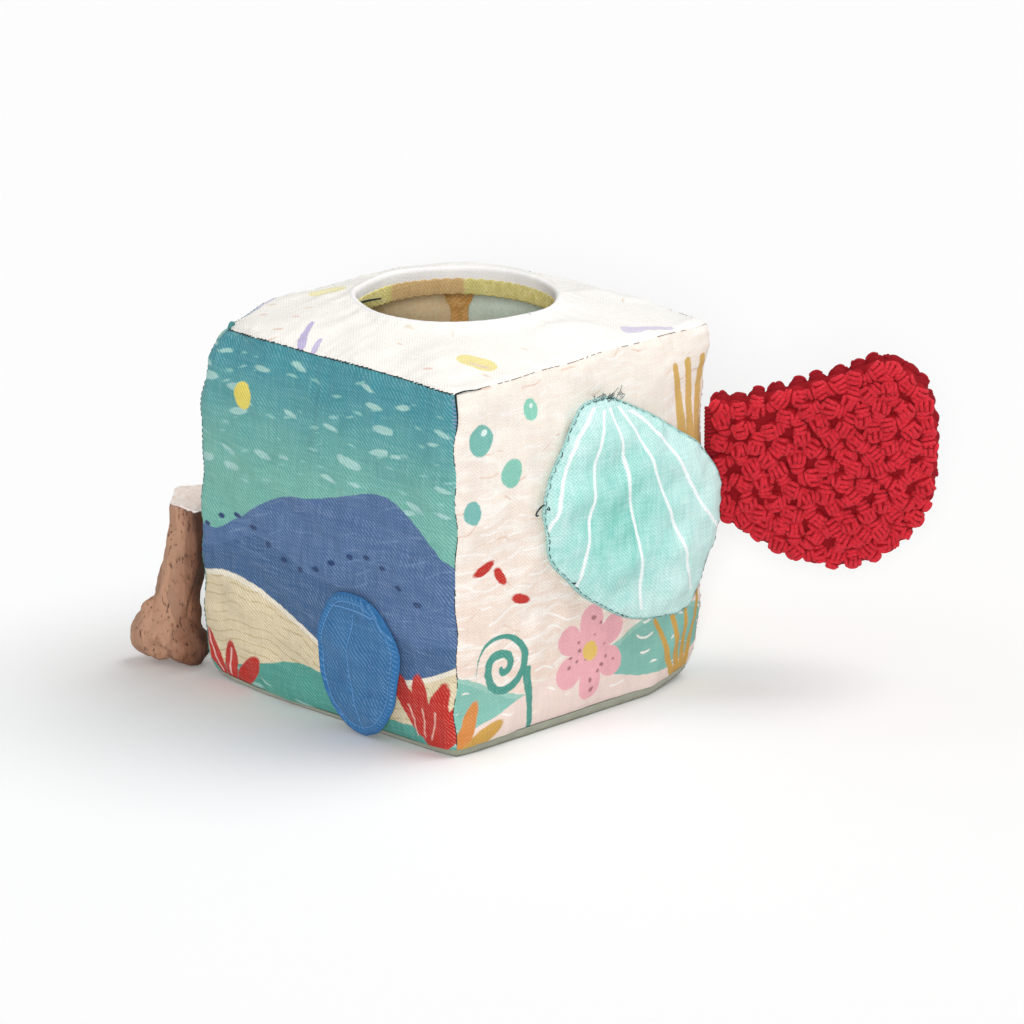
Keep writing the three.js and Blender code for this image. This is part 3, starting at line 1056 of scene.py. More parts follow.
@dataclass(frozen=True)
class Bark(Finish):
    """Dull carved wood: paler outwards and darker towards the box as painted light and shade, with painted
    lighter and darker facets, gouged, with a pale slanting cut.
    """

    name: str = "carved_bark"
    # light is the painted lit side, middle the wood's own tone, dark the painted shaded side towards the box
    light: str = "b78c72"
    middle: str = "93634a"
    dark: str = "4c3025"
    gouge: str = "54372b"
    cut: str = "fff2ec"
    cut_rim: str = "f4ddd2"

    def make(self) -> bpy.types.Material:
        """Makes the material.

        Returns:
            The material.
        """
        shade = Shade(self.name)
        grain = shade.noise(3.0, 4.0, shade.vector(shade.x * 2.2, shade.y * 2.2, shade.z * 0.35), 0.65)
        patch = shade.noise(9.0, 3.0)
        # Painted light and shade: lighter away from the box and darker towards it, broken up by the grain
        depth = shade.x + shade.y + (patch - 0.5) * 8.0
        inward = (depth + 141.0 - shade.z * 0.12) / 9.0
        color = shade.over(srgb(self.light), srgb(self.middle), (inward + (grain - 0.5) * 1.2 + 0.5).clamp())
        shade_and_tone = ((depth + 136.5) / 8.0 + (grain - 0.5) * 1.2).clamp()
        color = shade.over(color, srgb(self.dark), shade_and_tone * 0.9)
        # Painted light and shade on the facets: each cell is a little lighter or darker
        planes = shade.cells(1.0, shade.vector(shade.x / 6.5, shade.y / 6.5, shade.z / 17.0), 1.0)
        painted_facet_light, _, _ = shade.split(planes.outputs["Color"])
        crease = Field(shade, planes.outputs["Distance"])
        color = shade.over(color, shade.grey(painted_facet_light * 0.3 + 0.86 + (grain - 0.5) * 0.2), 1.0, "MULTIPLY")
        flecks = shade.noise(1.0, 3.0, shade.vector(shade.x / 1.2, shade.y / 1.2, shade.z / 3.6), 0.6)
        fleck = ((flecks - 0.6) * 9.0).clamp()
        color = shade.over(color, srgb(self.gouge), fleck * 0.75)
        across = (shade.y - BRANCH.cut_at[1]) - (shade.x - BRANCH.cut_at[0])
        level = shade.z - across * (BRANCH.cut_slope / math.sqrt(2)) - BRANCH.cut_middle
        spot = shade.noise(2.0, 3.0)
        top = shade.over(srgb(self.cut_rim), srgb(self.cut), ((spot - 0.3) * 3.0).clamp())
        cut = ((level + 0.9 + (grain - 0.5) * 1.2) / 0.5).clamp()
        color = shade.over(color, top, cut)
        relief = grain * 0.3 - (fleck * 0.5 + crease * 1.1) * (1.0 - cut)
        shade.surface(color, 0.68, relief, Specular_IOR_Level=0.35)
        return shade.material


@dataclass(frozen=True)
class Foam(Finish):
    """Open foam board or wadding, inside the covers, with painted shade in its pores."""

    name: str
    color: str
    pore: float = 0.8

    def make(self) -> bpy.types.Material:
        """Makes the material.

        Returns:
            The material.
        """
        shade = Shade(self.name)
        pores = Field(shade, shade.cells(self.pore).outputs["Distance"])
        patch = shade.noise(20.0, 2.0)
        # Painted shade in the pores, with patches of tone that differ at random
        shade_and_tone = (pores * 0.3 + patch * 0.2 + 0.72).clamp()
        color = shade.over(srgb(self.color), shade.grey(shade_and_tone), 1.0, "MULTIPLY")
        shade.surface(color, 0.95, pores * 0.3, Specular_IOR_Level=0.1)
        return shade.material


# The prints: generic hills, leaves, flowers and dots in the colours of the real cloth, and a painted shadow
# behind the hem

SEA_HILL = Hill(73.0, ((13.0, 156.0, -20.0), (3.0, 61.0, 20.0)), "54739f")
SEA_SLOPE = Hill(47.0, ((10.0, 170.0, -70.0), (2.0, 47.0, 5.0)), "486a94")
SEA_DUNE = Hill(30.0, ((10.5, 142.0, -80.0),), "e6d6b4")
SEA_PRINT = Print(
    low="78b8ab",
    high="4b97a3",
    turn_at=(84.0, 122.0),
    motifs=(
        Scatter((18.0, 9.5), (4.8, 1.35), (80.0, 127.0), "a6d2cc", -0.05, 0.5, 0.75),
        Scatter((11.0, 6.0), (2.0, 0.5), (78.0, 127.0), "8cc4bf", 0.1, 0.6, 0.7),
        Oval((-38.0, 108.0), (4.6, 4.8), "ead867", 10.0),
        SEA_HILL,
        Within(SEA_HILL, Scatter((13.0, 5.0), (5.0, 0.4), (44.0, 90.0), "", 0.3, 0.3, 0.6), "6483ab"),
        SEA_SLOPE,
        Within(SEA_SLOPE, Scatter((12.0, 4.5), (4.6, 0.35), (22.0, 60.0), "", -0.2, 0.3, 0.6), "5a7ba4"),
        *(Oval((-58.0 + 8.2 * k, 58.0 + 6.0 * math.sin(k * 0.8)), (1.7, 1.0), "2b4672") for k in range(14)),
        Hill(32.0, ((10.5, 142.0, -80.0),), "f5ecd9"),
        SEA_DUNE,
        Within(SEA_DUNE, Rows(3.4, 0.22, ((10.0, 150.0, -74.0), (0.6, 17.0, 3.0)), "", 0.55), "cdb98d"),
        Hill(12.5, ((5.0, 92.0, -30.0),), "57a698"),
        Scatter((17.0, 5.5), (4.0, 0.7), (0.0, 9.0), "a9d3cc", -0.1, 0.3, 0.6),
        *(Oval((-57.0 + 9.0 * k, 10.0 - 1.5 * k), (9.0, 3.4), "c5342b", 118.0 - 38.0 * k) for k in range(3)),
        *(Oval((43.0 + 6.5 * k, 15.0 - 1.0 * k), (13.5, 4.2), "c5342b", 128.0 - 24.0 * k) for k in range(4)),
        *(Stroke((42.0 + 6.5 * k, 15.0), (46.5 + 3.0 * k, 5.0), "eab0a2", 0.45, 0.3) for k in range(3)),
        Stroke((-61.0, 17.0), (-54.0, 4.0), "f2c4bc", 0.5),
        Stroke((-47.0, 14.0), (-49.0, 4.0), "f2c4bc", 0.45),
    ),
)
SAND_PRINT = Print(
    low="f0d9cb",
    high="f7ece1",
    turn_at=(20.0, 112.0),
    bands="faf5ee",
    motifs=(
        Within(Hill(96.0, (), ""), Rows(6.4, 0.35, ((2.4, 47.0, 4.0), (0.9, 17.0, 7.0)), "", 0.46), "fbf6f0"),
        Rows(7.7, 0.3, ((2.0, 33.0, 9.0), (0.8, 12.0, 2.0)), "ecd2c2", 0.4),
        Hill(24.0, ((8.0, 120.0, 8.0),), "9ccbbd"),
        Hill(22.0, ((8.0, 120.0, 8.0),), "86c0b3"),
        Hill(14.0, ((6.0, 104.0, -42.0),), "f1dcd3"),
        Rows(5.6, 0.4, ((1.8, 37.0, 3.0), (1.0, 13.0, 2.0)), "faf4ef", 0.38),
        Oval((-53.0, 111.0), (5.4, 5.8), "7bbcb2"),
        Oval((-51.4, 113.4), (1.5, 1.2), "e4f4ef", 30.0),
        Oval((-39.0, 97.0), (4.4, 4.8), "8bcbb9"),
        Oval((-57.0, 86.0), (3.8, 4.2), "79b9b3"),
        Oval((-30.0, 117.5), (3.4, 3.8), "8fd3bd"),
        Oval((-29.2, 118.8), (1.0, 0.8), "e4f4ef", 30.0),
        *(
            Stroke((44.0 + 2.2 * k, 2.0), (31.0 + 9.0 * k, 28.0 + 6.0 * (k % 2)), "d0a452", 1.9, 0.9)
            for k in range(4)
        ),
        *(Stroke((47.0 + 4.5 * k, 86.0), (41.0 + 7.5 * k, 118.0), "dab266", 2.8, 1.5) for k in range(3)),
        Oval((-52.0, 66.0), (4.4, 1.8), "c5342b", 24.0),
        Oval((-45.0, 62.0), (4.0, 1.6), "c5342b", 128.0),
        Oval((-36.0, 52.0), (4.4, 1.8), "c5342b", -18.0),
        Curl((-44.0, 29.0), 6.6, 1.8, "4f9a8c", 1.5),
        Stroke((-32.6, 25.0), (-29.0, 3.0), "4f9a8c", 1.9, 1.1),
        Oval((-59.0, 9.0), (11.0, 3.2), "d98c48", 66.0),
        Oval((-52.0, 6.0), (9.0, 2.8), "cfa14f", 28.0),
        Flower((-2.0, 25.0), 17.5, 6, "efb0b8"),
        Within(
            Flower((-2.0, 25.0), 15.0, 6, ""),
            Scatter((4.6, 4.6), (1.0, 0.8), (0.0, 60.0), "", 0.0, 0.4, 0.75),
            "b0757b",
        ),
        Oval((-2.0, 25.0), (3.4, 3.4), "e8c46a"),
    ),
    wash=0.08,
)
DUNE_PRINT = Print(
    low="e7cf9f",
    high="f4ead6",
    turn_at=(20.0, 110.0),
    motifs=(
        Hill(92.0, ((8.0, 130.0, 20.0),), "ecd9b4"),
        Hill(62.0, ((10.0, 110.0, -30.0),), "dcb878"),
        Rows(5.0, 0.4, ((8.0, 120.0, -20.0), (1.2, 19.0, 2.0)), "f6ecd8", 0.5),
        Hill(34.0, ((7.0, 150.0, 40.0),), "8fb7a6"),
        Scatter((19.0, 12.0), (3.4, 1.3), (72.0, 124.0), "c5342b", 0.4, 1.2, 0.6),
        Scatter((17.0, 8.0), (3.6, 0.8), (4.0, 28.0), "dcefe8", 0.0, 0.4, 0.7),
        Oval((30.0, 104.0), (8.0, 8.0), "4a6aa3"),
        *(Oval((-40.0 + 7.0 * k, 22.0), (10.0, 3.4), "4f9a8c", 130.0 - 26.0 * k) for k in range(4)),
    ),
)
LAGOON_PRINT = Print(
    low="5f9f92",
    high="8fc3b8",
    turn_at=(15.0, 115.0),
    motifs=(
        Scatter((15.0, 8.0), (3.6, 1.0), (66.0, 127.0), "cfe8e0", 0.0, 0.6, 0.8),
        Hill(58.0, ((9.0, 140.0, 30.0),), "4f8f9a"),
        Hill(30.0, ((6.0, 90.0, -20.0),), "e6d6b4"),
        Rows(3.4, 0.22, ((6.0, 90.0, -20.0), (0.6, 17.0, 3.0)), "cdb98d", 0.42),
        *(
            Oval((-48.0 + 19.0 * k, 40.0 + 5.0 * (k % 2)), (10.0, 3.2), "c9a04e", 80.0 - 12.0 * k)
            for k in range(6)
        ),
        Flower((34.0, 92.0), 12.0, 5, "efb0b8"),
        Oval((34.0, 92.0), (2.8, 2.8), "e8c46a"),
    ),
)
TOP_PRINT = Print(
    low="fcf8f1",
    high="fcfaf5",
    turn_at=(-65.0, 65.0),
    motifs=(
        # A painted shadow in an arc behind the hem
        ShadowArc(41.2, 1.3, 36.0, "ddd8ca"),
        Oval((-44.0, -20.0), (7.0, 5.5), "f7efc0", 20.0),
        Oval((50.0, -40.0), (6.5, 4.5), "f3e6a0", 40.0),
        Stroke((-14.0, -62.0), (-22.0, -49.0), "c3b9dc", 1.7, 0.9),
        Stroke((-7.0, -62.5), (-10.0, -56.0), "cbc3e0", 1.4, 0.8),
        Stroke((-60.0, -48.0), (-61.0, -22.0), "d9d3e6", 1.6, 0.9),
        Stroke((57.0, 26.0), (60.0, 44.0), "ddd6e8", 2.4, 1.3),
        Stroke((-48.0, 16.0), (-42.0, 8.0), "b0addb", 1.0, 0.6),
        Stroke((-52.0, 26.0), (-46.0, 30.0), "eab7b0", 1.1, 0.6),
        Scatter((19.0, 12.0), (2.6, 1.0), (-64.0, -38.0), "ecd4c4", 0.5, 1.6, 0.5),
        Scatter((24.0, 16.0), (2.2, 0.8), (-60.0, 62.0), "efe3d2", -0.3, 1.6, 0.5),
    ),
    wash=0.03,
)


class Cloths:
    """The finishes of the object's cloths, threads and wood."""

    sea = PrintedCotton("sea_cotton", SEA_PRINT, Across.XZ, Weave(0.72, 0.11, True, 0.7), 0.14, 0.3)
    sand = PrintedCotton("sand_cotton", SAND_PRINT, Across.YZ, Weave(slub=0.8), shows=0.12, weave_shade=0.13)
    dune = PrintedCotton("dune_cotton", DUNE_PRINT, Across.XZ, shows=0.2, weave_shade=0.25)
    lagoon = PrintedCotton("lagoon_cotton", LAGOON_PRINT, Across.YZ)
    top = PrintedCotton("cream_cotton", TOP_PRINT, Across.XY, shows=0.1, weave_shade=0.13)
    suede = Suede()
    hem = PlainCloth("hem_knit", "fdfbf8", "f3f0f1", Across.MAPPED, Weave(0.7, 0.08), weave_shade=0.06)
    facing = PiecedCloth()
    tan = PlainCloth("tan_cloth", "ffe9c2", "f8d6a4", Across.YZ, FINE_WEAVE, 1.6, 0.1)
    tan_long = PlainCloth("tan_cloth_across", "ffe9c2", "f8d6a4", Across.XZ, FINE_WEAVE, 1.6, 0.1)
    aqua = PlainCloth("aqua_cloth", "eefef4", "d8f2e4", Across.XZ, FINE_WEAVE, 1.6, 0.1)
    aqua_long = PlainCloth("aqua_cloth_across", "eefef4", "d8f2e4", Across.YZ, FINE_WEAVE, 1.6, 0.1)
    grey = PlainCloth("grey_cloth", "ebe6ea", "d8d2da", Across.XY, Weave(0.7, 0.1))
    binding = PlainCloth("corner_cloth", "e2b070", "cc984e", Across.XZ, Weave(0.8, 0.08), 4.0)
    leaf = PlainCloth(
        "blue_twill", "467cab", "3a6e9f", Across.XZ, Weave(0.84, 0.16, True, 0.6), 9.0, 0.34, 0.1,
        rim="3b78ae", rim_width=2.2,
    )
    leaf_edge = PlainCloth("blue_binding", "3b78b0", "3470a6", Across.XZ, Weave(0.84, 0.08), 6.0, 0.12, 0.02)
    tape = PlainCloth("tape_twill", "e6d9bd", "d2c3a2", Across.YZ, Weave(0.7, 0.14, True))
    peach = PlainCloth("peach_muslin", "ecd0b0", "dcb996", Across.XY, MUSLIN_WEAVE, 7.0)
    mint = PlainCloth("mint_muslin", "c3ddd4", "a8c8bd", Across.XY, MUSLIN_WEAVE, 7.0)
    cream = PlainCloth("cream_muslin", "f3ead8", "e3d7bf", Across.XY, MUSLIN_WEAVE, 7.0)
    foam = Foam("foam_board", "f4efe2")
    wadding = Foam("wadding_fleece", "f6f4ee", 1.4)
    bark = Bark()
    red = Thread("red_yarn_twist", "ee3646", "b40d1c", 1.5, 0.06, 0.08, 0.14, 0.28)
    # Darker copies of the red yarn as painted shade: the cores between the loops, the back and the tab, and
    # the body in the pits
    shaded_core_red = Thread("red_yarn_core_shaded", "b41020", "8e0915", 1.5, 0.06, 0.0, 0.12, 0.2)
    shaded_red = Thread("shaded_red_yarn_twist", "b81a2a", "7c0814", 1.5, 0.06, 0.05, 0.12, 0.2)
    pit_red = Thread("shaded_yarn", "a00e1c", "780914", 1.5, 0.07, 0.0, 0.1, 0.2)
    pale_blue_thread = Thread("pale_blue_thread", "a9bce2", "7c94c6")
    dark_thread = Thread("dark_thread", "2b3c3c", "121a1a")
    brown_thread = Thread("brown_thread", "8a5a50", "54322e")
    blue_thread = Thread("blue_thread", "7db6e8", "4f90d0")
    grey_thread = Thread("grey_thread", "7f9c9e", "566d70")
    teal_thread = Thread("teal_thread", "4f9a98", "357274")
    sand_thread = Thread("sand_thread", "e3cfc0", "c2ab9b")
    sage_thread = Thread("sage_thread", "a9a68c", "85836a")


def dress(piece: bpy.types.Object, finish: Finish, body: str, slot: str, *nodes: str) -> bpy.types.Object:
    """Gives a piece its material and its body, and hides the CAD nodes that it stands for.

    Args:
        piece: The piece.
        finish: Its finish.
        body: The CAD body that it rides on.
        slot: Not used.
        nodes: The CAD nodes that it replaces.

    Returns:
        The piece.
    """
    piece.data.materials.clear()
    piece.data.materials.append(finish.material())
    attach(piece, body)
    if nodes:
        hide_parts(*nodes)
    return piece


# The soft cube, as the model's source has it

@dataclass(frozen=True)
class SeamDraw:
    """How one upright seam is drawn in, as shares of the cube's most: see SoftCube."""

    along_x: int
    along_y: int
    top: float
    middle: float
    bottom: float
    sink: float
    lift: float


@dataclass(frozen=True)
class SoftCube:
    """The sharp cube's edge and how stuffing changes it, in millimetres. soften() is the source's own map."""

    edge: float = 130.0
    side_crown: float = 3.2
    top_crown: float = 11.0
    edge_rounding: float = 11.0
    edge_draw: float = 1.2
    draw_start: float = 0.5
    nearness_power: float = 1.1
    end_power: float = 5.0
    full_draw: float = 6.5
    full_sink: float = 3.6
    full_lift: float = 3.0
    # The front, left, right and back seam
    seams: tuple[SeamDraw, ...] = (
        SeamDraw(1, -1, 0.09, 0.05, 0.05, 0.08, 0.0),
        SeamDraw(-1, -1, 1.0, 0.05, 0.4, 1.0, 0.4),
        SeamDraw(1, 1, 0.09, 0.55, 0.92, 0.22, 1.0),
        SeamDraw(-1, 1, 0.77, 0.09, 0.52, 0.83, 0.4),
    )
    tuck: float = 0.8
    tuck_reach: float = 3.6
    pucker_depth: float = 0.42
    pucker_pitch: float = 6.4
    unrest: float = 0.42
    unrest_waves: int = 9

    @property
    def half(self) -> float:
        """Half the edge."""
        return self.edge / 2

    @property
    def face(self) -> Point2:
        """The flat size of one face, in metres."""
        return (self.edge * MM, self.edge * MM)

    def turned(self, place: Array) -> Array:
        """How far the rounding of an edge has turned in at a place from -1 to 1 across a face."""
        return clamp((np.abs(place) * self.half - (self.half - self.edge_rounding)) / self.edge_rounding) ** 2

    def near(self, place: Array) -> Array:
        """How near a place from -1 to 1 across a face is to its upper end."""
        return clamp((place - self.draw_start) / (1 - self.draw_start))

    def bulge(self, across: Array, up: Array) -> Array:
        """How far a side stands out: its crown, less what its rounded edges draw in."""
        crown = self.side_crown * clamp(1 - across * across) * clamp(1 - up * up)
        return crown - self.edge_draw * (self.turned(across) + self.turned(up))

    def soften(self, x: Array, y: Array, z: Array) -> Array:
        """Moves points of the sharp cube to where the stuffed cube has them.

        Args:
            x: Places along x.
            y: Places along y.
            z: Heights.

        Returns:
            The points, in millimetres.
        """
        x, y, z = np.broadcast_arrays(x, y, z)
        half = self.half
        nx, ny, nz = x / half, y / half, (z - half) / half

        px = x + nx * self.bulge(ny, nz)
        py = y + ny * self.bulge(nx, nz)
        pz = z + np.where(nz > 0, nz * nz * self.top_crown * clamp(1 - nx * nx) * clamp(1 - ny * ny), 0.0)
        upper, lower = clamp(nz) ** self.end_power, clamp(-nz) ** self.end_power
        for seam in self.seams:
            nearness = (self.near(seam.along_x * nx) * self.near(seam.along_y * ny)) ** self.nearness_power
            draw = seam.middle + (seam.top - seam.middle) * upper + (seam.bottom - seam.middle) * lower
            px = px - seam.along_x * draw * nearness * self.full_draw
            py = py - seam.along_y * draw * nearness * self.full_draw
            pz = pz + nearness * (seam.lift * self.full_lift * lower - seam.sink * self.full_sink * upper)
        return self.sewn(np.stack([px, py, pz], axis=-1))

    def sewn(self, points: Array) -> Array:
        """Shifts points by the small unevenness of a thing sewn by hand. Neighbours move together.

        Args:
            points: The points.

        Returns:
            The shifted points.
        """
        rng = np.random.default_rng(14)
        settled = clamp(points[..., 2:] / 14.0)
        shift = np.zeros_like(points)
        for _ in range(self.unrest_waves):
            way = rng.normal(size=3)
            way *= TAU / (rng.uniform(15.0, 42.0) * np.linalg.norm(way))
            push = rng.normal(size=3) * self.unrest / math.sqrt(self.unrest_waves)
            shift = shift + np.sin(points @ way + rng.uniform(0, TAU))[..., None] * push
        return points + shift * settled

    def lines(self, count: int, low: float | None = None, high: float | None = None) -> Array:
        """Places across a face, closer together at its edges.

        Args:
            count: How many.
            low: The first, or the face's own edge.
            high: The last, or the face's own edge.

        Returns:
            The places.
        """
        share = np.linspace(-1, 1, count)
        spread = (1.35 * share - 0.35 * share**3 + 1) / 2
        low = -self.half if low is None else low
        high = self.half if high is None else high
        return low + (high - low) * spread

    def tucked(self, away: Array) -> Array:
        """How far the cloth is turned in towards a seam, from 0 to 1, at a distance from it."""
        return clamp(1 - away / self.tuck_reach) ** 2

    def puckers(self, along: Array, away: Array) -> Array:
        """The small folds that a seam's thread pulls into the cloth."""
        wave = np.sin(along * TAU / self.pucker_pitch + 1.7 * np.sin(along / 11.0))
        return self.pucker_depth * wave * np.exp(-away / 4.5) * (1 - self.tucked(away))


CUBE = SoftCube()


@dataclass(frozen=True)
class Wall:
    """One upright side: its name, the way it faces and the way that runs to its right."""

    name: str
    out: tuple[int, int]
    right: tuple[int, int]

    def point(self, across: Array, height: Array, depth: Array) -> Array:
        """A softened point by its distance across, its height and its depth under the sharp face.

        Args:
            across: The distance across.
            height: The height.
            depth: The depth.

        Returns:
            The points, in millimetres.
        """
        reach = CUBE.half - depth
        x = self.out[0] * reach + self.right[0] * across
        y = self.out[1] * reach + self.right[1] * across
        return CUBE.soften(x, y, height)


FRONT_LEFT = Wall("front_left", (0, -1), (1, 0))
FRONT_RIGHT = Wall("front_right", (1, 0), (0, 1))
BACK_RIGHT = Wall("back_right", (0, 1), (-1, 0))
BACK_LEFT = Wall("back_left", (-1, 0), (0, -1))
WALLS = (FRONT_LEFT, FRONT_RIGHT, BACK_RIGHT, BACK_LEFT)
CORNERS = ((1, -1), (1, 1), (-1, 1), (-1, -1))


def round_hole(inner: float, reach: float, share: Array, turn: Array) -> tuple[Array, Array]:
    """Places between a round hole and the square round it.

    Args:
        inner: The hole's radius.
        reach: Half the square's side.
        share: How far from the hole to the square a place is, from 0 to 1.
        turn: Its angle.

    Returns:
        The places' x and y.
    """
    cos, sin = np.cos(turn), np.sin(turn)
    scale = reach / np.maximum(np.abs(cos), np.abs(sin))
    x = inner * cos * (1 - share) + cos * scale * share
    y = inner * sin * (1 - share) + sin * scale * share
    return x, y


@dataclass(frozen=True)
class SeamStyle:
    """A seam's thread: how thick it is, how far a whip stitch reaches, and the shares that show."""

    name: str
    finish: Finish
    slot: str
    radius: float
    reach: float
    shows: float
    whips: float


DARK_SEAM = SeamStyle("dark", Cloths.dark_thread, "sea_print", 0.19, 0.42, 0.85, 0.6)
FRONT_SEAM = SeamStyle("front", Cloths.dark_thread, "sea_print", 0.15, 0.3, 0.75, 0.16)
SAND_SEAM = SeamStyle("brown", Cloths.brown_thread, "sand_print", 0.13, 0.25, 0.55, 0.05)
PLAIN_SEAM = SeamStyle("teal", Cloths.teal_thread, "lagoon_print", 0.16, 0.4, 0.6, 0.7)
PALE_SEAM = SeamStyle("pale", Cloths.sand_thread, "sand_print", 0.14, 0.35, 0.5, 0.5)
BASE_SEAM = SeamStyle("sage", Cloths.sage_thread, "suede", 0.24, 0.7, 0.5, 0.97)


@dataclass(frozen=True)
class Covers:
    """The printed covers, the suede base and the stitches in their seams. Sizes in millimetres."""

    cells: int = 96
    crease_across: float = -2.5
    crease_low: float = 92.0
    crease_depth: float = 1.1
    crease_tall: float = 26.0
    crease_lean: float = 0.03
    ripples: Ripples = Ripples(3, 24.0, 70.0, 0.75)
    crumples: Ripples = Ripples(8, 8.0, 18.0, 0.2)
    inward: float = 0.4
    deepest: float = 0.95
    lip: float = 37.4
    lip_rise: float = 1.05
    lip_width: float = 2.6
    gathers: int = 46
    gather_depth: float = 0.22
    gather_reach: float = 4.0
    hem_outer: float = 38.4
    base_rims: tuple[float, ...] = (1.8, 3.6, 3.6, 1.8)
    base_rows: int = 7
    top_rings: int = 44
    top_around: int = 256
    seam_steps: int = 60
    stitch_pitch: float = 2.0
    run_pitch: float = 3.0
    run_steps: int = 6
    whip_steps: int = 5

    def rim(self, wall: Wall, across: Array) -> Array:
        """How high the suede base comes up at a place along a wall.

        Args:
            wall: The wall.
            across: The places.

        Returns:
            The heights.
        """
        here, after, before = (self.base_rims[(WALLS.index(wall) + step) % 4] for step in (0, 1, -1))
        share = ease(np.abs(across) / CUBE.half * 4 - 3) * 0.5
        return here * (1 - share) + np.where(across > 0, after, before) * share

    def wall_points(self, wall: Wall, across: Array, height: Array) -> Array:
        """Points of a wall's cover, with its seams tucked in, its puckers and its wrinkles.

        Args:
            wall: The wall.
            across: Places across.
            height: Heights on the wall.

        Returns:
            The points, in millimetres.
        """
        half = CUBE.half
        low = self.rim(wall, across)
        rise = low + (height / CUBE.edge) * (CUBE.edge - low)
        away_side = half - np.abs(across)
        away_top, away_base = CUBE.edge - rise, rise - low
        away_end = np.minimum(away_top, away_base)
        side, end = CUBE.tucked(away_side), CUBE.tucked(away_top)
        foot = CUBE.tucked(away_base) * 0.4
        depth = CUBE.tuck * (side + end - side * end) + foot
        flat = (1 - side) * (1 - end)
        seed = 31.0 * WALLS.index(wall)
        wrinkle = self.wrinkle(across + seed, rise)
        depth = depth - wrinkle * flat
        depth = depth - CUBE.puckers(across + seed, away_end) - CUBE.puckers(rise + seed, away_side)
        if wall is FRONT_LEFT:
            depth = depth + self.crease(across, rise)
        shift = np.sign(across) * CUBE.tuck * side
        return wall.point(across - shift, rise - CUBE.tuck * end, np.minimum(depth, self.deepest))

    def wrinkle(self, u: Array, v: Array) -> Array:
        """The height of a cover's wrinkles, which the foam under it keeps from going in far."""
        height = self.ripples.at(u, v) + self.crumples.at(u, v) - 0.1
        return np.where(height < 0, self.inward * np.tanh(height / self.inward), height)

    def crease(self, across: Array, height: Array) -> Array:
        """The upright fold under the top seam of the front left cover.

        Args:
            across: Places across.
            height: Heights.

        Returns:
            How deep the fold is.
        """
        fade = ease((height - self.crease_low) / self.crease_tall)
        away = across - self.crease_across - (height - CUBE.edge) * self.crease_lean
        return self.crease_depth * fade * (bell(away, 0.9) - 0.45 * bell(away - 2.6, 2.2))

    def build_wall(self, wall: Wall, finish: Finish, slot: str) -> bpy.types.Object:
        """Makes one wall's cover.

        Args:
            wall: The wall.
            finish: Its cloth.
            slot: Its material slot.

        Returns:
            The cover.
        """
        lines = CUBE.lines(self.cells)
        across, height = np.meshgrid(lines, lines + CUBE.half)
        points = self.wall_points(wall, across, height)
        piece = make_object(f"{wall.name}_cover", points.reshape(-1, 3), grid_faces(self.cells, self.cells))
        dress(piece, finish, "box", slot, f"{wall.name}_panel")
        return piece

    def top_points(self, share: Array, angle: Array) -> Array:
        """Points of the top cover, from the hem at share 0 to the seam at share 1.

        Args:
            share: How far out each place is.
            angle: Its angle round the hole.

        Returns:
            The points, in millimetres.
        """
        x, y = round_hole(self.lip, CUBE.half, share, angle)
        away_x, away_y = CUBE.half - np.abs(x), CUBE.half - np.abs(y)
        side_x, side_y = CUBE.tucked(away_x), CUBE.tucked(away_y)
        both = side_x + side_y - side_x * side_y
        wrinkle = self.wrinkle(x + 90, y)
        away_hole = np.hypot(x, y) - self.lip
        fade = (1 - np.exp(-away_hole)) * np.exp(-away_hole / self.gather_reach)
        gathers = self.gather_depth * np.sin(angle * self.gathers + 2.0 * np.sin(angle * 5)) * fade
        rise = self.lip_rise * bell(away_hole, self.lip_width)
        open_cloth = (1 - both) * ease(away_hole / 3.0)
        height = CUBE.edge - CUBE.tuck * both + (wrinkle + 0.1) * open_cloth + gathers + rise
        height = height + CUBE.puckers(y, away_x) + CUBE.puckers(x, away_y)
        return CUBE.soften(x - np.sign(x) * CUBE.tuck * side_x, y - np.sign(y) * CUBE.tuck * side_y, height)

    def build_top(self) -> bpy.types.Object:
        """Makes the top cover.

        Returns:
            The cover.
        """
        share = np.linspace(0, 1, self.top_rings)
        share = (1.25 * share - 0.25 * share**4)[:, None]
        points = self.top_points(share, angles(self.top_around) + math.pi / 4)
        faces = [face[::-1] for face in grid_faces(self.top_rings, self.top_around, True)]
        piece = make_object("top_cover", points.reshape(-1, 3), faces)
        dress(piece, Cloths.top, "box", "cream_print", "top_panel")
        area = (CUBE.edge**2 - math.pi * self.lip**2) * MM * MM
        return piece

    def build_base(self) -> bpy.types.Object:
        """Makes the suede base: flat below, and turned up round its edge to the walls.

        Returns:
            The cover.
        """
        cells = self.cells
        lines = CUBE.lines(cells)
        side = CUBE.tucked(CUBE.half - np.abs(lines))
        corner = CUBE.half - CUBE.tuck
        x, y = np.meshgrid(lines, lines[::-1])
        inner = CUBE.soften(x * corner / CUBE.half, y * corner / CUBE.half, np.zeros_like(x))
        points = [inner.reshape(-1, 3)]
        faces = grid_faces(cells, cells)
        start = cells * cells
        for wall in WALLS:
            rows = []
            rim = self.rim(wall, lines)
            for share in np.linspace(0, 1, self.base_rows):
                bulge = math.sin(share * math.pi) * 0.5
                depth = CUBE.tuck * (1 - share) ** 2 * 0.8 + 0.4 - bulge * 0.5
                depth = depth + CUBE.tuck * side * 0.9
                rows.append(wall.point(lines * (1 - CUBE.tuck * side / CUBE.half), rim * share, depth))
            points.append(np.stack(rows).reshape(-1, 3))
            faces += [tuple(start + k for k in face) for face in grid_faces(self.base_rows, cells)]
            start += self.base_rows * cells
        piece = make_object("base_cover", np.concatenate(points), faces)
        dress(piece, Cloths.suede, "box", "suede", "base_panel")
        return piece

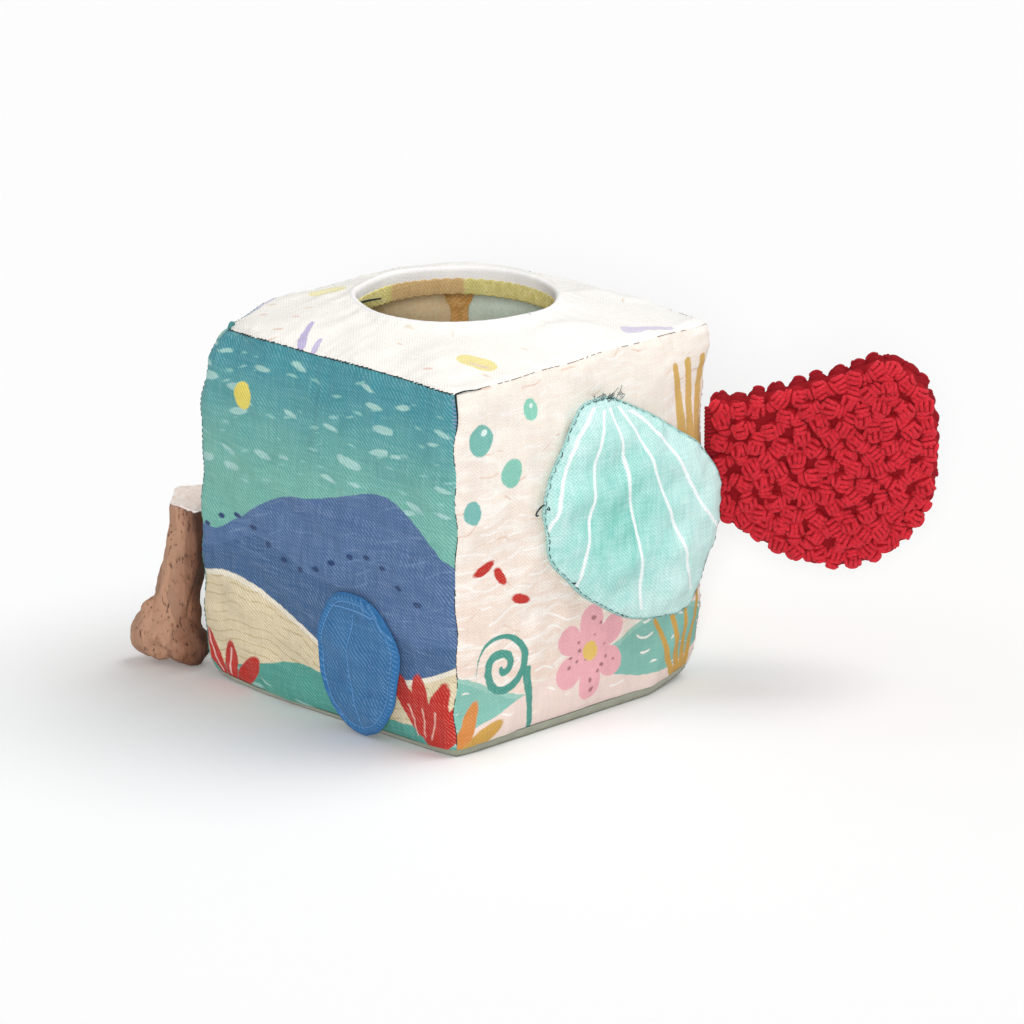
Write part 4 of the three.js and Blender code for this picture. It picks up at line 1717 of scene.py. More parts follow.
    def seam_path(self, start: tuple[int, int], end: tuple[int, int], top: bool) -> Array:
        """Points along a level seam of the top or the base, between two corners.

        Args:
            start: The first corner.
            end: The second corner.
            top: Whether it is a seam of the top.

        Returns:
            The points, in millimetres.
        """
        share = np.linspace(0, 1, self.seam_steps)
        reach = CUBE.half - CUBE.tuck
        x = reach * (start[0] + (end[0] - start[0]) * share)
        y = reach * (start[1] + (end[1] - start[1]) * share)
        return CUBE.soften(x, y, np.full(self.seam_steps, CUBE.edge - CUBE.tuck if top else 1.0))

    def upright_path(self, corner: tuple[int, int]) -> Array:
        """Points up an upright seam.

        Args:
            corner: The corner's signs along x and y.

        Returns:
            The points, in millimetres.
        """
        reach = CUBE.half - CUBE.tuck
        heights = np.linspace(4.0, CUBE.edge - CUBE.tuck, self.seam_steps)
        return CUBE.soften(corner[0] * reach, corner[1] * reach, heights)

    def stitch_seam(
        self, path: Array, out: Sequence[float], style: SeamStyle, sew: Strands, seed: int
    ) -> None:
        """Lays a seam's thread in its groove, and whip stitches over it.

        Args:
            path: Points along the seam, in millimetres.
            out: The direction that the seam faces.
            style: The seam's thread.
            sew: Takes the thread.
            seed: Fixes the small differences from stitch to stitch.
        """
        rng = np.random.default_rng(seed)
        out = np.asarray(out, float) / np.linalg.norm(out)
        length = lengths(path)
        for spot in np.arange(0.5, length[-1] - 2.5, self.run_pitch):
            if rng.random() < style.shows:
                spots = spot + np.linspace(0, rng.uniform(2.0, 3.2), self.run_steps)
                run = points_along(path, length, spots)
                sew.add(run + out * rng.uniform(-0.02, 0.1), style.radius)
        for spot in np.arange(1.5, length[-1] - 1.0, self.stitch_pitch):
            if rng.random() > style.whips:
                continue
            middle = points_along(path, length, spot)
            ahead = points_along(path, length, spot + 0.5) - middle
            ahead /= np.linalg.norm(ahead)
            side = np.cross(out, ahead)
            share = np.linspace(-1, 1, self.whip_steps)[:, None]
            lean = rng.uniform(0.4, 0.9)
            wide = style.reach * rng.uniform(0.7, 1.1)
            rise = 0.2 * (1 - share**2) - 0.25 * share**2 * wide
            sew.add(middle + side * share * wide + ahead * (share * lean) + out * rise, style.radius)

    def build_seams(self) -> None:
        """Makes the threads of all twelve seams."""
        tops = (SAND_SEAM, SAND_SEAM, PLAIN_SEAM, DARK_SEAM)
        uprights = (FRONT_SEAM, PALE_SEAM, PLAIN_SEAM, PLAIN_SEAM)
        spools: dict[SeamStyle, Strands] = {}
        for index, corner in enumerate(CORNERS):
            after = CORNERS[(index + 1) % 4]
            side = ((corner[0] + after[0]) / 2, (corner[1] + after[1]) / 2)
            for style, path, out in (
                (tops[index], self.seam_path(corner, after, True), (*side, 1.0)),
                (uprights[index], self.upright_path(corner), (*corner, 0.0)),
                (BASE_SEAM, self.seam_path(corner, after, False), (*side, -0.4)),
            ):
                self.stitch_seam(path, out, style, spools.setdefault(style, Strands(5)), 40 + index)
        for style, sew in spools.items():
            dress(sew.build(f"seam_{style.name}"), style.finish, "box", style.slot)

    def build(self) -> None:
        """Makes all the covers and their seams."""
        finishes = (Cloths.sea, Cloths.sand, Cloths.dune, Cloths.lagoon)
        slots = ("sea_print", "sand_print", "dune_print", "lagoon_print")
        for wall, finish, slot in zip(WALLS, finishes, slots):
            self.build_wall(wall, finish, slot)
        self.build_top()
        self.build_base()
        self.build_seams()


COVERS = Covers()


@dataclass(frozen=True)
class Opening:
    """The rolled hem and the facing of the round hole. Sizes in millimetres."""

    radius: float = 35.0
    hem_width: float = 3.2
    hem_low: float = 125.2
    hem_high: float = 131.3
    facing_low: float = 122.6
    facing_high: float = 127.6
    facing_radius: float = 35.6
    facing_thickness: float = 1.0
    around: int = 240
    hem_steps: int = 9
    facing_steps: int = 5
    gathers: int = 62
    gather_depth: float = 0.22

    def ring(self, radius: Array, height: Array, angle: Array) -> Array:
        """Softened points round the hole."""
        return CUBE.soften(radius * np.cos(angle), radius * np.sin(angle), height)

    def bar(self, inner: float, outer: float, low: float, high: float, steps: int) -> tuple[Array, Array]:
        """The radius and height of points round an upright bar with round ends.

        Args:
            inner: The bar's inner radius.
            outer: Its outer radius.
            low: Its foot.
            high: Its top.
            steps: How many points each end has.

        Returns:
            The radii and the heights.
        """
        round_by = (outer - inner) / 2
        middle = (inner + outer) / 2
        turn = np.linspace(0, math.pi, steps)
        radius = np.concatenate([middle + round_by * np.cos(turn), middle - round_by * np.cos(turn)])
        height = np.concatenate([
            high - round_by + round_by * np.sin(turn),
            low + round_by - round_by * np.sin(turn),
        ])
        return radius, height

    def build_ring(self, name: str, section: tuple[Array, Array], swell: Array) -> bpy.types.Object:
        """Makes a closed ring from its section, swollen by an amount at each angle.

        Args:
            name: The object's name.
            section: Its radii and heights.
            swell: The amount at each angle.

        Returns:
            The ring.
        """
        radius, height = section
        angle = angles(self.around)[:, None]
        middle = radius.mean()
        spread = middle + (radius[None, :] - middle) * (1 + swell[:, None])
        points = self.ring(spread, height[None, :] + swell[:, None] * 0.8, angle)
        count = len(radius)
        faces = grid_faces(self.around, count, True)
        start = (self.around - 1) * count
        for k in range(count):
            after = (k + 1) % count
            faces.append((start + k, start + after, after, k))
        over = np.concatenate([[0], np.cumsum(np.hypot(np.diff(radius), np.diff(height)))])
        uvs = np.stack(np.broadcast_arrays(angle * middle, over[None, :]), axis=-1).reshape(-1, 2)
        piece = make_object(name, points.reshape(-1, 3), faces, uvs)
        face_outwards(piece)
        return piece

    def build(self) -> None:
        """Makes the hem and the facing."""
        angle = angles(self.around)
        wobble = 0.02 * np.sin(angle * 47 + 2 * np.sin(angle * 3)) + 0.04 * np.sin(angle * 9 + 1)
        outer = self.radius + self.hem_width
        section = self.bar(self.radius, outer, self.hem_low, self.hem_high, self.hem_steps)
        hem = self.build_ring("opening_rolled_hem", section, wobble)
        dress(hem, Cloths.hem, "box", "hem_cloth", "opening_hem")
        gathers = self.gather_depth * np.sin(angle * self.gathers + 3 * np.sin(angle * 4))
        inner = self.facing_radius - self.facing_thickness
        section = self.bar(inner, self.facing_radius, self.facing_low, self.facing_high, self.facing_steps)
        facing = self.build_ring("opening_facing_band", section, gathers)
        dress(facing, Cloths.facing, "box", "facing_cloth", "opening_facing")


@dataclass(frozen=True)
class Linings:
    """The linings of the walls, the top and the base, and the corners' bindings. Sizes in millimetres."""

    depth: float = 8.3
    low: float = 8.6
    high: float = 123.4
    top_depth: float = 6.4
    cells: int = 40
    top_rings: int = 20
    top_around: int = 160
    binding: float = 5.2
    binding_rows: int = 70
    binding_across: int = 13
    wrinkles: Ripples = Ripples(21, 14.0, 50.0, 0.35)

    @property
    def reach(self) -> float:
        """Half the width of the inside."""
        return CUBE.half - self.depth - 0.4

    def wall(self, wall: Wall, finish: Finish, slot: str) -> bpy.types.Object:
        """Makes one wall's lining.

        Args:
            wall: The wall.
            finish: Its cloth.
            slot: Its material slot.

        Returns:
            The lining.
        """
        reach = self.reach
        across, height = np.meshgrid(
            CUBE.lines(self.cells, -reach, reach), CUBE.lines(self.cells, self.low, self.high)
        )
        flat = 1 - CUBE.tucked(reach - np.abs(across))
        wrinkle = np.maximum(self.wrinkles.at(across + 40 * WALLS.index(wall), height), -0.1)
        points = wall.point(across, height, self.depth + 0.1 + wrinkle * flat)
        faces = [face[::-1] for face in grid_faces(self.cells, self.cells)]
        piece = make_object(f"{wall.name}_lining_cloth", points.reshape(-1, 3), faces)
        dress(piece, finish, "box", slot, f"{wall.name}_lining")
        size = (2 * reach * MM, (self.high - self.low) * MM)
        return piece

    def base(self) -> bpy.types.Object:
        """Makes the lining of the base.

        Returns:
            The lining.
        """
        reach = self.reach
        lines = CUBE.lines(self.cells, -reach, reach)
        x, y = np.meshgrid(lines, lines)
        points = CUBE.soften(x, y, self.low - 0.1 + 0.4 * self.wrinkles.at(x, y + 70))
        piece = make_object("base_lining_cloth", points.reshape(-1, 3), grid_faces(self.cells, self.cells))
        dress(piece, Cloths.tan, "box", "tan_lining", "base_lining")
        return (piece, 2 * reach * MM, 2 * reach * MM)[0]

    def top(self) -> bpy.types.Object:
        """Makes the lining under the top.

        Returns:
            The lining.
        """
        reach = self.reach
        share = np.linspace(0, 1, self.top_rings)[:, None]
        x, y = round_hole(COVERS.hem_outer, reach, share, angles(self.top_around) + math.pi / 4)
        points = CUBE.soften(x, y, CUBE.edge - self.top_depth + 0.5 * self.wrinkles.at(x, y))
        faces = grid_faces(self.top_rings, self.top_around, True)
        piece = make_object("top_lining_cloth", points.reshape(-1, 3), faces)
        dress(piece, Cloths.grey, "box", "grey_lining", "top_lining")
        area = (4 * reach * reach - math.pi * COVERS.hem_outer**2) * MM * MM
        size = (2 * reach * MM, 2 * reach * MM)
        return piece

    def corner(self, number: int, corner: tuple[int, int]) -> bpy.types.Object:
        """Makes the binding in one inner corner, pinched where it meets the top.

        Args:
            number: The corner's number.
            corner: Its signs along x and y.

        Returns:
            The binding.
        """
        heights = np.linspace(self.low + 2, self.high - 1.0, self.binding_rows)[:, None]
        share = np.linspace(-1, 1, self.binding_across)[None, :]
        reach = CUBE.half - self.depth - 0.9
        pinch = 0.86 + 0.45 * bell(heights - self.high + 6, 3.5) + 0.06 * np.sin(heights / 3.1)
        away = np.abs(share) * self.binding * pinch
        round_by = 2.4 * (1 - np.abs(share)) ** 2 + 1.2 * bell(heights - self.high + 9, 3.0)
        x = corner[0] * (reach - np.where(share < 0, away, 0) - round_by)
        y = corner[1] * (reach - np.where(share > 0, away, 0) - round_by)
        points = CUBE.soften(x, y, heights)
        faces = grid_faces(self.binding_rows, self.binding_across)
        piece = make_object(f"corner_binding_{number}", points.reshape(-1, 3), faces)
        dress(piece, Cloths.binding, "box", "tan_lining")
        size = (2 * self.binding * MM, (self.high - self.low - 3) * MM)
        return piece

    def build(self) -> None:
        """Makes all the linings."""
        self.wall(FRONT_LEFT, Cloths.tan_long, "tan_lining")
        self.wall(FRONT_RIGHT, Cloths.aqua_long, "aqua_lining")
        self.wall(BACK_RIGHT, Cloths.aqua, "aqua_lining")
        self.wall(BACK_LEFT, Cloths.tan, "tan_lining")
        self.base()
        self.top()
        for number, corner in enumerate(CORNERS, 1):
            self.corner(number, corner)


# Outlines through a few points, as the model's source draws them

def spline(points: Sequence[Point2], per_span: int = 16) -> Array:
    """A smooth curve through points, with as many steps between each two.

    Args:
        points: The points.
        per_span: The steps between two.

    Returns:
        The curve's points.
    """
    knots = np.asarray(points, float)
    last = len(knots) - 1
    rows = []
    for k in range(last):
        p0, p1 = knots[max(k - 1, 0)], knots[k]
        p2, p3 = knots[k + 1], knots[min(k + 2, last)]
        t = np.arange(per_span)[:, None] / per_span
        v0, v1 = (p2 - p0) / 2, (p3 - p1) / 2
        cubic = (2 * p1 - 2 * p2 + v0 + v1) * t**3
        square = (-3 * p1 + 3 * p2 - 2 * v0 - v1) * t**2
        rows.append(cubic + square + v0 * t + p1)
    rows.append(knots[-1:])
    return np.concatenate(rows)


def even(path: Array, count: int, closed: bool = True) -> Array:
    """Evenly spaced points along a path.

    Args:
        path: The path's points.
        count: How many.
        closed: Whether its end joins its start.

    Returns:
        The points.
    """
    path = np.concatenate([path, path[:1]]) if closed else path
    length = lengths(path)
    return points_along(path, length, np.linspace(0, length[-1], count, endpoint=not closed))


@dataclass(frozen=True)
class Outline:
    """A closed outline from stretches of points, given as shares of its box."""

    left: float
    bottom: float
    width: float
    height: float
    stretches: tuple[tuple[Point2, ...], ...]

    def points(self, count: int) -> Array:
        """Evenly spaced points round the outline.

        Args:
            count: How many.

        Returns:
            The points, in millimetres.
        """
        rows = []
        start = None
        for stretch in self.stretches:
            knots = list(stretch) if start is None else [start, *stretch]
            rows.append(spline(knots)[:-1])
            start = stretch[-1]
        path = np.concatenate(rows) * (self.width, self.height) + (self.left, self.bottom)
        return even(path, count)


def pad_grid(outline: Array, rings: int) -> Array:
    """Places over an outline, ring by ring from its middle.

    Args:
        outline: The outline's points.
        rings: How many rings there are.

    Returns:
        The places.
    """
    middle = outline.mean(axis=0)
    share = np.linspace(0, 1, rings + 1)[1:] ** 0.85
    places = middle + (outline - middle)[None] * share[:, None, None]
    return np.concatenate([np.broadcast_to(middle, (1, len(outline), 2)), places])


def points_inside(spots: Array, outline: Array) -> Array:
    """Whether each place lies inside an outline.

    Args:
        spots: The places.
        outline: The outline's points.

    Returns:
        True or false for each.
    """
    after = np.roll(outline, -1, axis=0)
    inside = np.zeros(len(spots), bool)
    for (x0, y0), (x1, y1) in zip(outline, after):
        crosses = (y0 > spots[:, 1]) != (y1 > spots[:, 1])
        inside ^= crosses & (spots[:, 0] < (x1 - x0) * (spots[:, 1] - y0) / (y1 - y0 + 1e-12) + x0)
    return inside


def line_distance(spots: Array, line: Array) -> Array:
    """How far each place lies from a line through points.

    Args:
        spots: The places.
        line: The line's points.

    Returns:
        The distances.
    """
    flat = spots.reshape(-1, 2)
    nearest = np.full(len(flat), 1e9)
    for start, end in zip(line[:-1], line[1:]):
        run = end - start
        arm = flat - start
        share = clamp((arm @ run) / (run @ run + 1e-12))
        nearest = np.minimum(nearest, np.linalg.norm(arm - share[:, None] * run, axis=1))
    return nearest.reshape(spots.shape[:-1])


class EdgeMap:
    """How far places lie inside an outline, read from a fine grid. It is below 0 outside."""

    def __init__(self, outline: Array, step: float = 0.5, margin: float = 8.0) -> None:
        """Measures the grid.

        Args:
            outline: The outline's points.
            step: The grid's step.
            margin: How far the grid goes past the outline.
        """
        self.step = step
        self.start = outline.min(axis=0) - margin
        counts = np.ceil((outline.max(axis=0) + margin - self.start) / step).astype(int)
        lines = [np.arange(count) * step for count in counts]
        grid = np.stack(np.meshgrid(*lines, indexing="ij"), axis=-1) + self.start
        away = line_distance(grid, np.concatenate([outline, outline[:1]]))
        inside = points_inside(grid.reshape(-1, 2), outline).reshape(away.shape)
        self.away = np.where(inside, away, -away)

    def at(self, spots: Array) -> Array:
        """Reads the distance at places.

        Args:
            spots: The places.

        Returns:
            The distances.
        """
        share = (np.asarray(spots) - self.start) / self.step
        low = np.clip(np.floor(share).astype(int), 0, np.array(self.away.shape) - 2)
        share = np.clip(share - low, 0.0, 1.0)
        i, j = low[..., 0], low[..., 1]
        s, t = share[..., 0], share[..., 1]
        near = self.away[i, j] * (1 - s) + self.away[i + 1, j] * s
        far = self.away[i, j + 1] * (1 - s) + self.away[i + 1, j + 1] * s
        return near * (1 - t) + far * t


LEAF_OUTLINE = Outline(2.0, 0.8, 39.0, 49.2, (
    ((0.62, 0), (0.8, 0.075), (0.94, 0.26), (1, 0.49), (0.95, 0.73), (0.81, 0.9), (0.62, 0.985), (0.46, 1)),
    ((0.46, 1), (0.3, 0.985), (0.14, 0.9), (0.03, 0.72), (0, 0.51), (0.08, 0.29), (0.26, 0.1), (0.45, 0.015),
     (0.62, 0)),
))
SCALLOP_OUTLINE = Outline(-29.0, 32.1, 86.9, 84.3, (
    ((0.375, 1), (0.25, 0.99), (0.18, 0.93), (0.115, 0.826), (0.045, 0.714), (0, 0.59)),
    ((0.015, 0.47), (0.06, 0.344), (0.17, 0.23), (0.31, 0.12), (0.445, 0.042), (0.57, 0.005), (0.73, 0)),
    ((0.83, 0.06), (0.97, 0.3), (1, 0.47), (0.96, 0.6), (0.83, 0.73)),
    ((0.63, 0.86), (0.48, 0.95), (0.375, 1)),
))
CROCHET_OUTLINE = Outline(0.0, 41.0, 79.0, 75.2, (
    ((0.008, 0.785), (0.008, 0.266)),
    ((0.1, 0.2), (0.24, 0.11), (0.41, 0.03), (0.62, 0), (0.82, 0.09),
     (0.96, 0.28), (1, 0.55), (0.98, 0.77), (0.89, 0.93), (0.75, 1)),
    ((0.6, 0.94), (0.4, 0.88), (0.19, 0.82), (0.008, 0.785)),
))


@dataclass(frozen=True)
class Leaf:
    """The blue leaf flap: two cloths sewn together, with stitched veins. Sizes in millimetres."""

    gap: float = 0.45
    thickness: float = 2.2
    tip_lift: float = 3.0
    rim_width: float = 0.8
    stitch_in: float = 2.6
    stitch_pitch: float = 1.7
    stitch_radius: float = 0.19
    stitch_groove: float = 0.9
    tack_pitch: float = 2.4
    tack_radius: float = 0.26
    tack: tuple[Point2, ...] = ((9.5, 44.2), (14.0, 45.0), (20.0, 45.2), (26.0, 44.8), (30.5, 43.8))
    roll_radius: float = 0.5
    vein_groove: float = 0.7
    side_vein_groove: float = 0.35
    quilting: Ripples = Ripples(5, 6.0, 16.0, 0.16)
    around: int = 132
    rings: int = 30
    vein_steps: int = 30
    vein: tuple[Point2, ...] = ((20.5, 43.5), (17.6, 31.0), (19.0, 21.5), (21.5, 13.0), (25.6, 3.6))
    side_veins: tuple[tuple[Point2, ...], ...] = (
        ((18.0, 33.0), (13.0, 37.5), (7.5, 40.0)),
        ((18.0, 33.5), (24.0, 39.0), (29.5, 41.5)),
        ((18.6, 22.0), (12.5, 25.5), (5.5, 29.5)),
        ((19.0, 21.0), (27.0, 27.5), (36.0, 31.0)),
        ((22.0, 12.5), (15.5, 13.8), (11.0, 16.0)),
        ((22.3, 12.0), (28.5, 16.5), (34.5, 19.0)),
    )

    def place(self, spots: Array, out: Array) -> Array:
        """Points in front of the wall, by their place on it and how far out they are.

        Args:
            spots: Places, by their way across and up.
            out: How far out they are.

        Returns:
            The points, in millimetres.
        """
        up = spots[..., 1]
        lift = self.tip_lift * clamp(1 - (up - LEAF_OUTLINE.bottom) / LEAF_OUTLINE.height) ** 2
        bow = 0.5 * np.sin((spots[..., 0] - 4) / 11.0) * clamp(1 - up / 60)
        return FRONT_LEFT.point(spots[..., 0], up, -self.gap - out - lift - np.maximum(bow, -0.2))

    def front(self, spots: Array, edge: EdgeMap) -> Array:
        """How far out the front cloth lies: turned in at its rim and quilted by its stitches.

        Args:
            spots: Places, by their way across and up.
            edge: The outline's edge map.

        Returns:
            The ways out.
        """
        away = edge.at(spots)
        rim = ease(away / self.rim_width)
        groove = self.stitch_groove * bell(away - self.stitch_in, 0.6)
        for vein in (self.vein, *self.side_veins):
            nearest = line_distance(spots, even(spline(vein), self.vein_steps, False))
            depth = self.vein_groove if vein is self.vein else self.side_vein_groove
            groove = np.maximum(groove, depth * bell(nearest, 0.8))
        puff = 0.3 * ease(away / 6.0) + self.quilting.at(spots[..., 0], spots[..., 1])
        turned = 0.45 * bell(away - 1.3, 0.9)
        fold = 0.7 * np.exp(-(((spots[..., 0] - 13) / 5) ** 2 + ((spots[..., 1] - 47.4) / 1.0) ** 2))
        return self.thickness * 0.5 + (self.thickness * 0.5 + puff + turned + fold) * rim - 0.5 * groove * rim

    def build(self) -> None:
        """Makes the two cloths and the stitches."""
        outline = LEAF_OUTLINE.points(self.around)
        edge = EdgeMap(outline, 0.25)
        spots = pad_grid(outline, self.rings)
        away = np.maximum(edge.at(spots), 0)
        away[-1] = 0
        faces = grid_faces(self.rings + 1, self.around, True)
        front = self.place(spots, self.front(spots, edge))
        back = self.place(spots, self.thickness * 0.5 * (1 - ease(away / self.rim_width)))
        rims = np.stack([away, spots[..., 1]], axis=-1).reshape(-1, 2)
        for name, points, flip in (("front", front, False), ("back", back, True)):
            turned = [face[::-1] for face in faces] if flip else faces
            piece = make_object(f"leaf_{name}_cloth", points.reshape(-1, 3), turned, rims)
            dress(piece, Cloths.leaf, "leaf", "leaf_twill", f"leaf_{name}")
        self.stitches(outline, edge)

    def stitches(self, outline: Array, edge: EdgeMap) -> None:
        """Makes the topstitching round the edge, along the veins and across the top.

        Args:
            outline: The leaf's outline.
            edge: The outline's edge map.
        """
        sew, roll = Strands(5), Strands(6)
        middle = outline.mean(axis=0)
        arm = outline - middle
        inner = middle + arm * (1 - self.stitch_in / np.linalg.norm(arm, axis=1, keepdims=True))
        steps = 6
        for line, pitch, radius in (
            (np.concatenate([inner, inner[:1]]), self.stitch_pitch, self.stitch_radius),
            (np.array(self.tack), self.tack_pitch, self.tack_radius),
            (spline(self.vein), self.stitch_pitch, self.stitch_radius),
        ):
            length = np.linalg.norm(np.diff(line, axis=0), axis=1).sum()
            path = even(line, max(int(length / (pitch / steps)), 8), False)
            dip = np.where(np.arange(len(path)) % steps == steps - 1, -0.2, 0.14)
            sew.add(self.place(path, self.front(path, edge) + dip), radius)
        rim = np.concatenate([outline, outline[:1]])
        roll.add(self.place(rim, np.full(len(rim), self.thickness * 0.5)), self.roll_radius)
        dress(sew.build("leaf_stitches"), Cloths.blue_thread, "leaf", "leaf_twill")
        dress(roll.build("leaf_edge_roll"), Cloths.leaf_edge, "leaf", "leaf_twill")


@dataclass(frozen=True)
class ScallopCloth(Finish):
    """Aqua cotton, deeper in its middle, with white ribs that spread from the scallop's top, and a darker rim
    painted as the shade on the pad's rounded edge.
    """

    name: str = "scallop_cotton"
    pale: str = "c8ebe7"
    color: str = "a6e0d8"
    deep: str = "82d0c4"
    rib: str = "f4fbfa"
    # edge is the darker rim, painted as shade on the pad's rounded edge
    edge: str = "9fd2cd"
    middle: Point2 = (2.0, 74.0)
    reach: Point2 = (30.0, 34.0)

    def make(self) -> bpy.types.Material:
        """Makes the material.

        Returns:
            The material.
        """
        shade = Shade(self.name)
        u, v = shade.y, shade.z
        brush = shade.noise(1.0, 3.0, shade.vector(u / 5.0, v / 9.0), 0.6) - 0.5
        fine = shade.noise(2.4, 3.0, rough=0.7) - 0.5
        out_u, out_v = (u - self.middle[0]) / self.reach[0], (v - self.middle[1]) / self.reach[1]
        away = (out_u * out_u + out_v * out_v) ** 0.5 + brush * 1.5
        color = shade.over(srgb(self.color), srgb(self.pale), ((away - 0.55) * 1.5 + fine * 0.6).clamp())
        color = shade.over(color, srgb(self.deep), ((0.5 - away) * 2.0 + fine * 0.5).clamp() * 0.85)
        sway = (shade.noise(9.0, 1.0) - 0.5) * 1.6
        for rib in SCALLOP_RIBS:
            knots = np.array(rib)
            bend = np.polyfit(knots[:, 1], knots[:, 0], 3)
            middle, slope = self.bent(v, bend), self.bent(v, np.polyder(bend))
            away = (u + sway - middle).abs() / (slope * slope + 1.0) ** 0.5
            line = (away - 0.6).high(v - knots[0, 1]).high(knots[-1, 1] - v) + fine * 0.4
            color = shade.over(color, srgb(self.rib), (0.5 - line / 0.5).clamp())
        # Painted shade along the pad's rounded edge
        rim, _, _ = shade.mapped()
        color = shade.over(color, srgb(self.edge), ((1.1 - rim) / 0.5 + 0.5).clamp() * 0.8)
        tone = Weave().tone(u, v)
        color = woven(color, tone, 0.2, 0.24)
        shade.surface(color, 0.9, tone * 0.11, Sheen_Weight=0.06, Specular_IOR_Level=0.15)
        return shade.material

    def bent(self, v: Field, factors: Array) -> Field:
        """A polynomial of a field, by its factors from the highest power down.

        Args:
            v: The field.
            factors: The factors.

        Returns:
            The polynomial.
        """
        total = v * float(factors[0]) + float(factors[1])
        for factor in factors[2:]:
            total = total * v + float(factor)
        return total


SCALLOP_RIBS: tuple[tuple[Point2, ...], ...] = (
    ((-3.0, 114.0), (-10.0, 110.0), (-14.5, 101.0), (-20.0, 91.0), (-23.5, 84.0), (-27.0, 72.0)),
    ((-0.5, 112.5), (-3.0, 106.0), (-7.2, 98.0), (-9.7, 84.5), (-11.5, 69.5), (-13.3, 51.5)),
    ((2.0, 113.0), (3.5, 107.0), (5.0, 90.0), (9.0, 76.0), (10.8, 58.0), (15.5, 38.0)),
    ((6.0, 112.5), (11.0, 106.0), (16.0, 91.0), (25.5, 70.5), (30.5, 57.0), (37.0, 41.0)),
    ((10.5, 110.5), (20.5, 102.0), (28.0, 91.0), (37.0, 75.5), (50.0, 60.5)),
)


